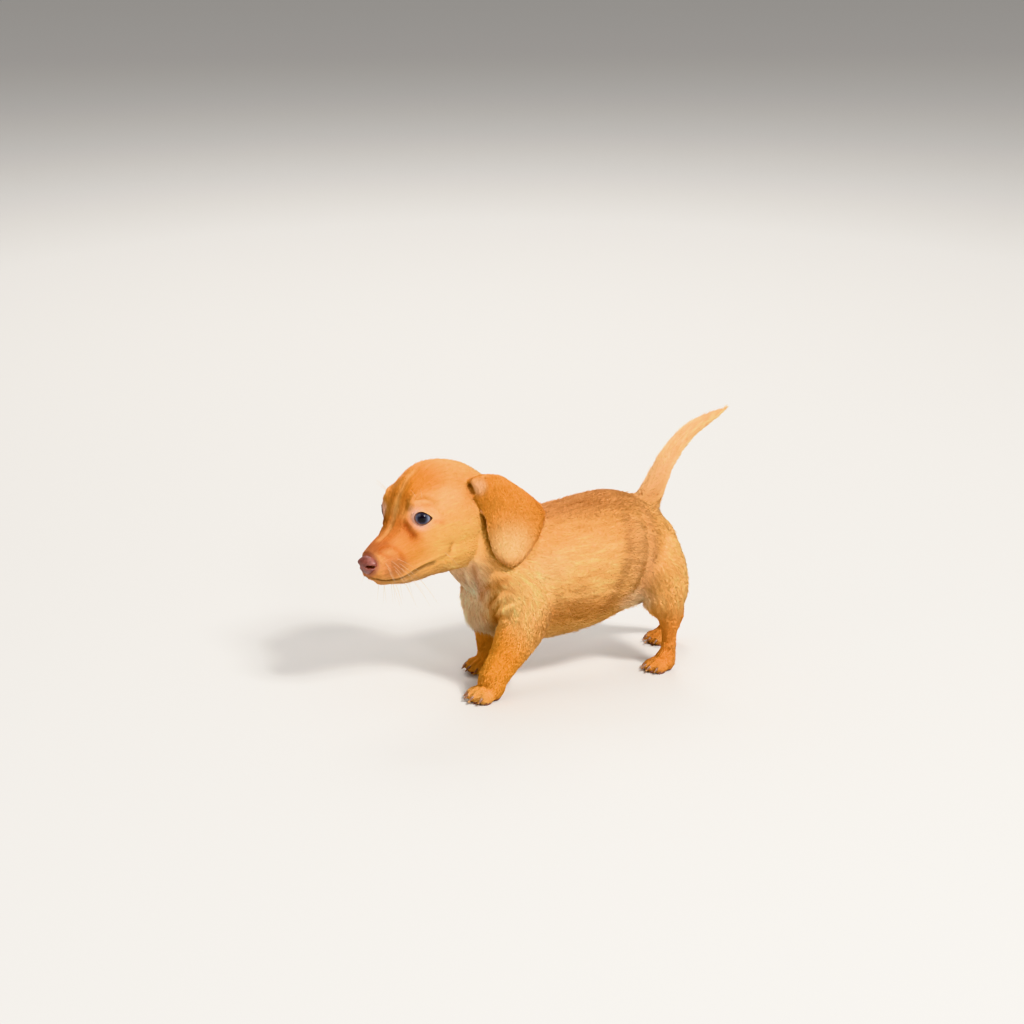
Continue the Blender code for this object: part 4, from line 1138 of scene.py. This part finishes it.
def make_lid_margin(side, place):
    """The dark wet edge of the lids: a thin ring, thicker above, bent to the almond shape of the opening."""
    bm = bmesh.new()
    made = bmesh.ops.create_circle(bm, segments=12, radius=MARGIN_THICKNESS,
                                   matrix=Matrix.Translation((0, 1, 0)) @ turn("Y", 90) @ turn("X", 90))
    bmesh.ops.spin(bm, geom=made["verts"] + list(bm.edges), cent=(0, 0, 0), axis=(1, 0, 0), dvec=(0, 0, 0),
                   angle=math.tau, steps=96, use_merge=True, use_duplicate=False)
    bmesh.ops.remove_doubles(bm, verts=bm.verts, dist=1e-5)
    for v in bm.verts:
        angle = math.atan2(v.co.z, v.co.y)
        radius = fissure_radius(angle)
        edge = Vector((math.sqrt(MARGIN_RADIUS ** 2 - radius ** 2), radius * math.cos(angle),
                       radius * math.sin(angle)))
        normal = edge.normalized()
        outward = Vector((0, math.cos(angle), math.sin(angle)))
        outward = (outward - normal * outward.dot(normal)).normalized()
        thick = 1 + 0.6 * max(0, math.sin(angle))
        v.co = edge + outward * (math.hypot(v.co.y, v.co.z) - 1) * thick + normal * v.co.x * thick
    bmesh.ops.recalc_face_normals(bm, faces=bm.faces)
    finished(bm, f"lid_margin_{side}", place, "rim")


# In the nose's own frame: the slit and the opening of the left nostril, the wing over it, and the middle groove
NOSTRIL = ((5.4, 3.9, 0.7), (4.0, 6.2, 0.2), (2.0, 7.9, -0.6), (0.0, 8.4, -1.2), (-1.6, 8.0, -2.6))
OPENING = ((4.6, 5.2, 0.4), (2.2, 7.6, -0.4))
WING = ((4.4, 5.6, 3.2), (2.4, 7.3, 2.4), (0.2, 8.2, 1.6))
GROOVE = ((6.2, 0, 2.2), (6.0, 0, -2), (5.2, 0, -6))


def pebbled(spot):
    """Half a step up inside each pebble of the leather and half a step down between them."""
    cells = np.array([noise.voronoi(Vector(p) * 1.15)[0][:2] for p in spot])
    return smooth_step(0.0, 0.3, cells[:, 1] - cells[:, 0]) - 0.5


def make_nose():
    """The leather of the nose: nostrils that run out into slits at the sides, with painted shade inside them,
    and a groove between them.
    """
    bm = bmesh.new()
    bmesh.ops.create_icosphere(bm, subdivisions=6, radius=1.0)
    points = np.array([v.co for v in bm.verts])
    out = unit(points / NOSE_REACH)
    spot = points * NOSE_REACH
    spot[:, 0] *= 1 - 0.06 * np.maximum(points[:, 0], 0) ** 4
    spot[:, 2] -= 0.5 * smooth_step(0.4, 1.0, points[:, 2])
    spot[:, 1] *= 1 - 0.22 * smooth_step(0.0, -1.0, points[:, 2]) + 0.04 * smooth_step(0, 0.8, points[:, 2])
    push, dark = np.zeros(len(points)), np.zeros(len(points))
    for side in BOTH:
        slit = line_distance(spot, mirrored(NOSTRIL, side))
        hole = line_distance(spot, mirrored(OPENING, side)) / 1.7
        push += 0.5 * bell(line_distance(spot, mirrored(WING, side)), 1.5)
        push -= 2.4 * (1 - smooth_step(0.4, 1.1, hole))
        push -= 1.4 * bell(slit, 0.75)
        # painted shade inside the nostrils and along their slits
        dark = np.max((dark, 1 - smooth_step(0.3, 0.95, hole), bell(slit, 0.62, 4)), axis=0)
    push -= 0.55 * bell(line_distance(spot, GROOVE), 0.55)
    push += 0.07 * pebbled(spot) * (spot[:, 0] > -1)
    for v, place in zip(bm.verts, spot + out * push[:, None]):
        v.co = place
    thing = finished(bm, "nose_pad", HEAD @ Matrix.Translation(NOSE_CENTRE), "nose", "nose")
    point_values(thing.data, "hollow", dark)


# Along a claw from its root to its tip: how far ahead, how high and its radius
CLAW_RINGS = ((3.2, 0.5, 1.15), (4.6, 0.55, 1.28), (6.0, 0.25, 1.12), (7.2, -0.45, 0.85), (8.1, -1.35, 0.52),
              (8.75, -2.3, 0.16))
CLAW_CURVE = 2.4          # degrees that a claw bends down for each millimetre ahead


CLAW_WIDTH, CLAW_SIDES = 0.78, 16             # the width beside the height


def drawn_through(rings, segments):
    """A closed shape through circles, each given by its place and its radius."""
    bm = bmesh.new()
    for place, radius in rings:
        bmesh.ops.create_circle(bm, segments=segments, radius=radius, matrix=place)
    bmesh.ops.bridge_loops(bm, edges=list(bm.edges))
    bmesh.ops.holes_fill(bm, edges=[e for e in bm.edges if len(e.link_faces) == 1], sides=0)
    bmesh.ops.recalc_face_normals(bm, faces=bm.faces)
    return bm


def make_claws(name):
    bm = bmesh.new()
    rings = [(Matrix.Translation((ahead, 0, height)) @ turn("Y", 90 + ahead * CLAW_CURVE)
              @ Matrix.Diagonal((1, CLAW_WIDTH, 1, 1)), radius) for ahead, height, radius in CLAW_RINGS]
    for x, y, z, heading in TOES:
        claw = drawn_through(rings, CLAW_SIDES)
        claw.transform(Matrix.Translation((x, y, z)) @ turn("Z", heading))
        pour(claw, bm)
    finished(bm, f"claws_{name}", paw_frame(name), "claw")


def make_pads(name):
    """A pad under each toe and one behind them, flattened on the floor."""
    bm = bmesh.new()
    pads = [(x + 0.6, y, 1.5, 4.0, 2.5, heading) for x, y, _, heading in TOES] + [(0.5, 0, 1.7, 5.2, 6.4, 0)]
    for x, y, z, long, wide, heading in pads:
        made = bmesh.ops.create_uvsphere(bm, u_segments=28, v_segments=18, radius=1.0)["verts"]
        bmesh.ops.transform(bm, verts=made, matrix=Matrix.Translation((x, y, z)) @ turn("Z", heading)
                            @ Matrix.Diagonal((long, wide, 2.2, 1)))
        for v in made:
            v.co.z = max(v.co.z, 0.08 + 0.03 * math.hypot(v.co.x - x, v.co.y - y))
    finished(bm, f"pads_{name}", paw_frame(name), "pad")


# In the head's frame: where a whisker leaves the skin, its way and its length. Those of the cheeks stand in
# rows, and the skin is looked for from the head's middle plane.
WHISKERS = tuple(
    ((103 - column * 4.6 - row * 0.5, 0, 0.5 - row * 3.6), (0.2 - 0.3 * column, 1.0, -0.4 - 0.3 * row),
     12 + 3.5 * column + row) for row in range(3) for column in range(3)) + (
    ((98, 6, -19), (0.1, 0.4, -1.0), 15),
    ((90, 8, -21), (-0.15, 0.4, -1.0), 17),
    ((84, 10, -22), (-0.3, 0.5, -1.0), 19),
    ((78, 9, -23), (-0.4, 0.4, -1.0), 20),
    ((103, 3, -16.5), (0.3, 0.25, -1.0), 11),
    ((94, 3, -20), (0.0, 0.2, -1.0), 14),
    ((70, 20, 36), (0.4, 0.35, 1.0), 12),
    ((67, 22, 35), (0.2, 0.5, 1.0), 14),
    ((64, 27, -6), (-0.1, 1.0, -0.5), 16),
)
WHISKER_STEPS, WHISKER_SIDES = 10, 5
WHISKER_RADIUS, TIP_RADIUS = 0.10, 0.015
WHISKER_DROOP, WHISKER_ROOT = 0.22, 0.8       # how far the tip droops beside the length, and the root's depth
CHIN = -12                # spots below this height are looked for from higher up
CHEEK = 12                # how far out the rows of the cheeks are looked for


def whisker_root(skin_tree, spot, side):
    """Where the whisker leaves the skin, on the ray from inside the head through its spot."""
    x, y, z = spot
    start = HEAD @ Vector((x, side * max(y, 0.1), z))
    inside = HEAD @ Vector((x - 4, 0, z + 6 if z < CHIN else z))
    through = start if y else HEAD @ Vector((x, side * CHEEK, z))
    ray = (through - inside).normalized()
    hit = skin_tree.ray_cast((inside + ray * 40) * MM, -ray)[0]
    return hit / MM if hit else start


def whisker_rings(root, heading, long):
    """From under the skin to the tip: the hair tapers and droops a little."""
    spoke = heading.orthogonal().normalized()
    face = Matrix((spoke.cross(heading), spoke, heading)).transposed().to_4x4()
    for t in np.linspace(0, 1, WHISKER_STEPS + 1):
        centre = root + heading * (long * t - WHISKER_ROOT) - Vector((0, 0, long * WHISKER_DROOP * t * t))
        yield Matrix.Translation(centre) @ face, WHISKER_RADIUS * (1 - t) ** 0.8 + TIP_RADIUS


def make_whiskers(skin):
    source = bmesh.new()
    source.from_mesh(skin.data)
    skin_tree = tree_of(source)
    bm = bmesh.new()
    for spot, way, long in WHISKERS:
        for side in BOTH:
            heading = (HEAD.to_3x3() @ Vector((way[0], side * way[1], way[2]))).normalized()
            rings = whisker_rings(whisker_root(skin_tree, spot, side), heading, long)
            pour(drawn_through(rings, WHISKER_SIDES), bm)
    finished(bm, "whiskers", Matrix(), "whisker")


# Floor, light and camera

FLOOR_COLOUR = (0.66, 0.66, 0.65, 1)
SKY_COLOUR, SKY_STRENGTH = (0.94, 0.89, 0.85, 1), 0.32
AIM_HEIGHT = 0.08         # the lights look at this height over the floor, in metres
# Azimuth, elevation, distance and size in metres, power and colour
LIGHTS = {
    "key": (192, 45, 1.8, 0.42, 38, (1.0, 0.97, 0.93)),
    "front": (168, 26, 1.9, 0.26, 8, (1.0, 0.98, 0.96)),
    "overhead": (152, 86, 4.0, 5.0, 56, (1.0, 0.97, 0.94)),
    "fill": (100, 22, 1.9, 1.0, 5, (1.0, 0.95, 0.91)),
    "rim": (335, 42, 1.8, 0.8, 18, (1.0, 0.95, 0.9)),
}
PHOTO_AZIMUTH, PHOTO_ELEVATION, PHOTO_DISTANCE = 152.0, 16.0, 2.984
PHOTO_LENS, PHOTO_SENSOR, PHOTO_SIZE = 150.0, 36.0, 1024
PHOTO_PLACE = (561.0, 672.0)      # where the photograph has the point under the body's own zero


def stage():
    floor = bmesh.new()
    bmesh.ops.create_grid(floor, x_segments=1, y_segments=1, size=12)
    mesh = mesh_from(floor, "floor")
    finish = Finish("floor_pale", roughness=0.9)
    finish.colour(FLOOR_COLOUR)
    mesh.materials.append(finish.material)
    piece_from(mesh, "floor")
    world = bpy.data.worlds.new("studio")
    bpy.context.scene.world = world
    world.use_nodes = True
    colour, strength = world.node_tree.nodes["Background"].inputs[:2]
    colour.default_value, strength.default_value = SKY_COLOUR, SKY_STRENGTH


def soft_light(name, azimuth, elevation, distance, size, power, colour):
    way = direction(azimuth, elevation)
    lamp = bpy.data.lights.new(name, "AREA")
    lamp.shape, lamp.size, lamp.energy, lamp.color = "DISK", size, power, colour
    thing = bpy.data.objects.new(name, lamp)
    bpy.context.scene.collection.objects.link(thing)
    thing.location = way * distance + Vector((0, 0, AIM_HEIGHT))
    thing.rotation_euler = way.to_track_quat("Z", "Y").to_euler()


def photo_camera():
    back = direction(PHOTO_AZIMUTH, PHOTO_ELEVATION)
    right = direction(PHOTO_AZIMUTH + 90, 0)
    up = back.cross(right)
    pixel = PHOTO_SENSOR / PHOTO_LENS / PHOTO_SIZE * PHOTO_DISTANCE
    middle = PHOTO_SIZE / 2
    aim = -right * (PHOTO_PLACE[0] - middle) * pixel + up * (PHOTO_PLACE[1] - middle) * pixel
    data = bpy.data.cameras.new("camera")
    data.lens, data.sensor_width = PHOTO_LENS, PHOTO_SENSOR
    camera = bpy.data.objects.new("camera", data)
    bpy.context.scene.collection.objects.link(camera)
    camera.location = aim + back * PHOTO_DISTANCE + BODY.translation * MM
    camera.rotation_euler = back.to_track_quat("Z", "Y").to_euler()
    bpy.context.scene.camera = camera


bpy.context.scene.view_settings.view_transform = "Khronos PBR Neutral"
stage()
for name, light in LIGHTS.items():
    soft_light(name, *light)
photo_camera()

skin = make_skin()
skin.data.materials.append(FINISHES["skin"])
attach(skin, "root")
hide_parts(*FLESH)
unwrapped(skin)
make_coat(skin)
for side, place in EYES.items():
    make_eye(side, place)
    make_lid_margin(side, place)
make_nose()
for paw in PAWS:
    make_claws(paw)
    make_pads(paw)
make_whiskers(skin)
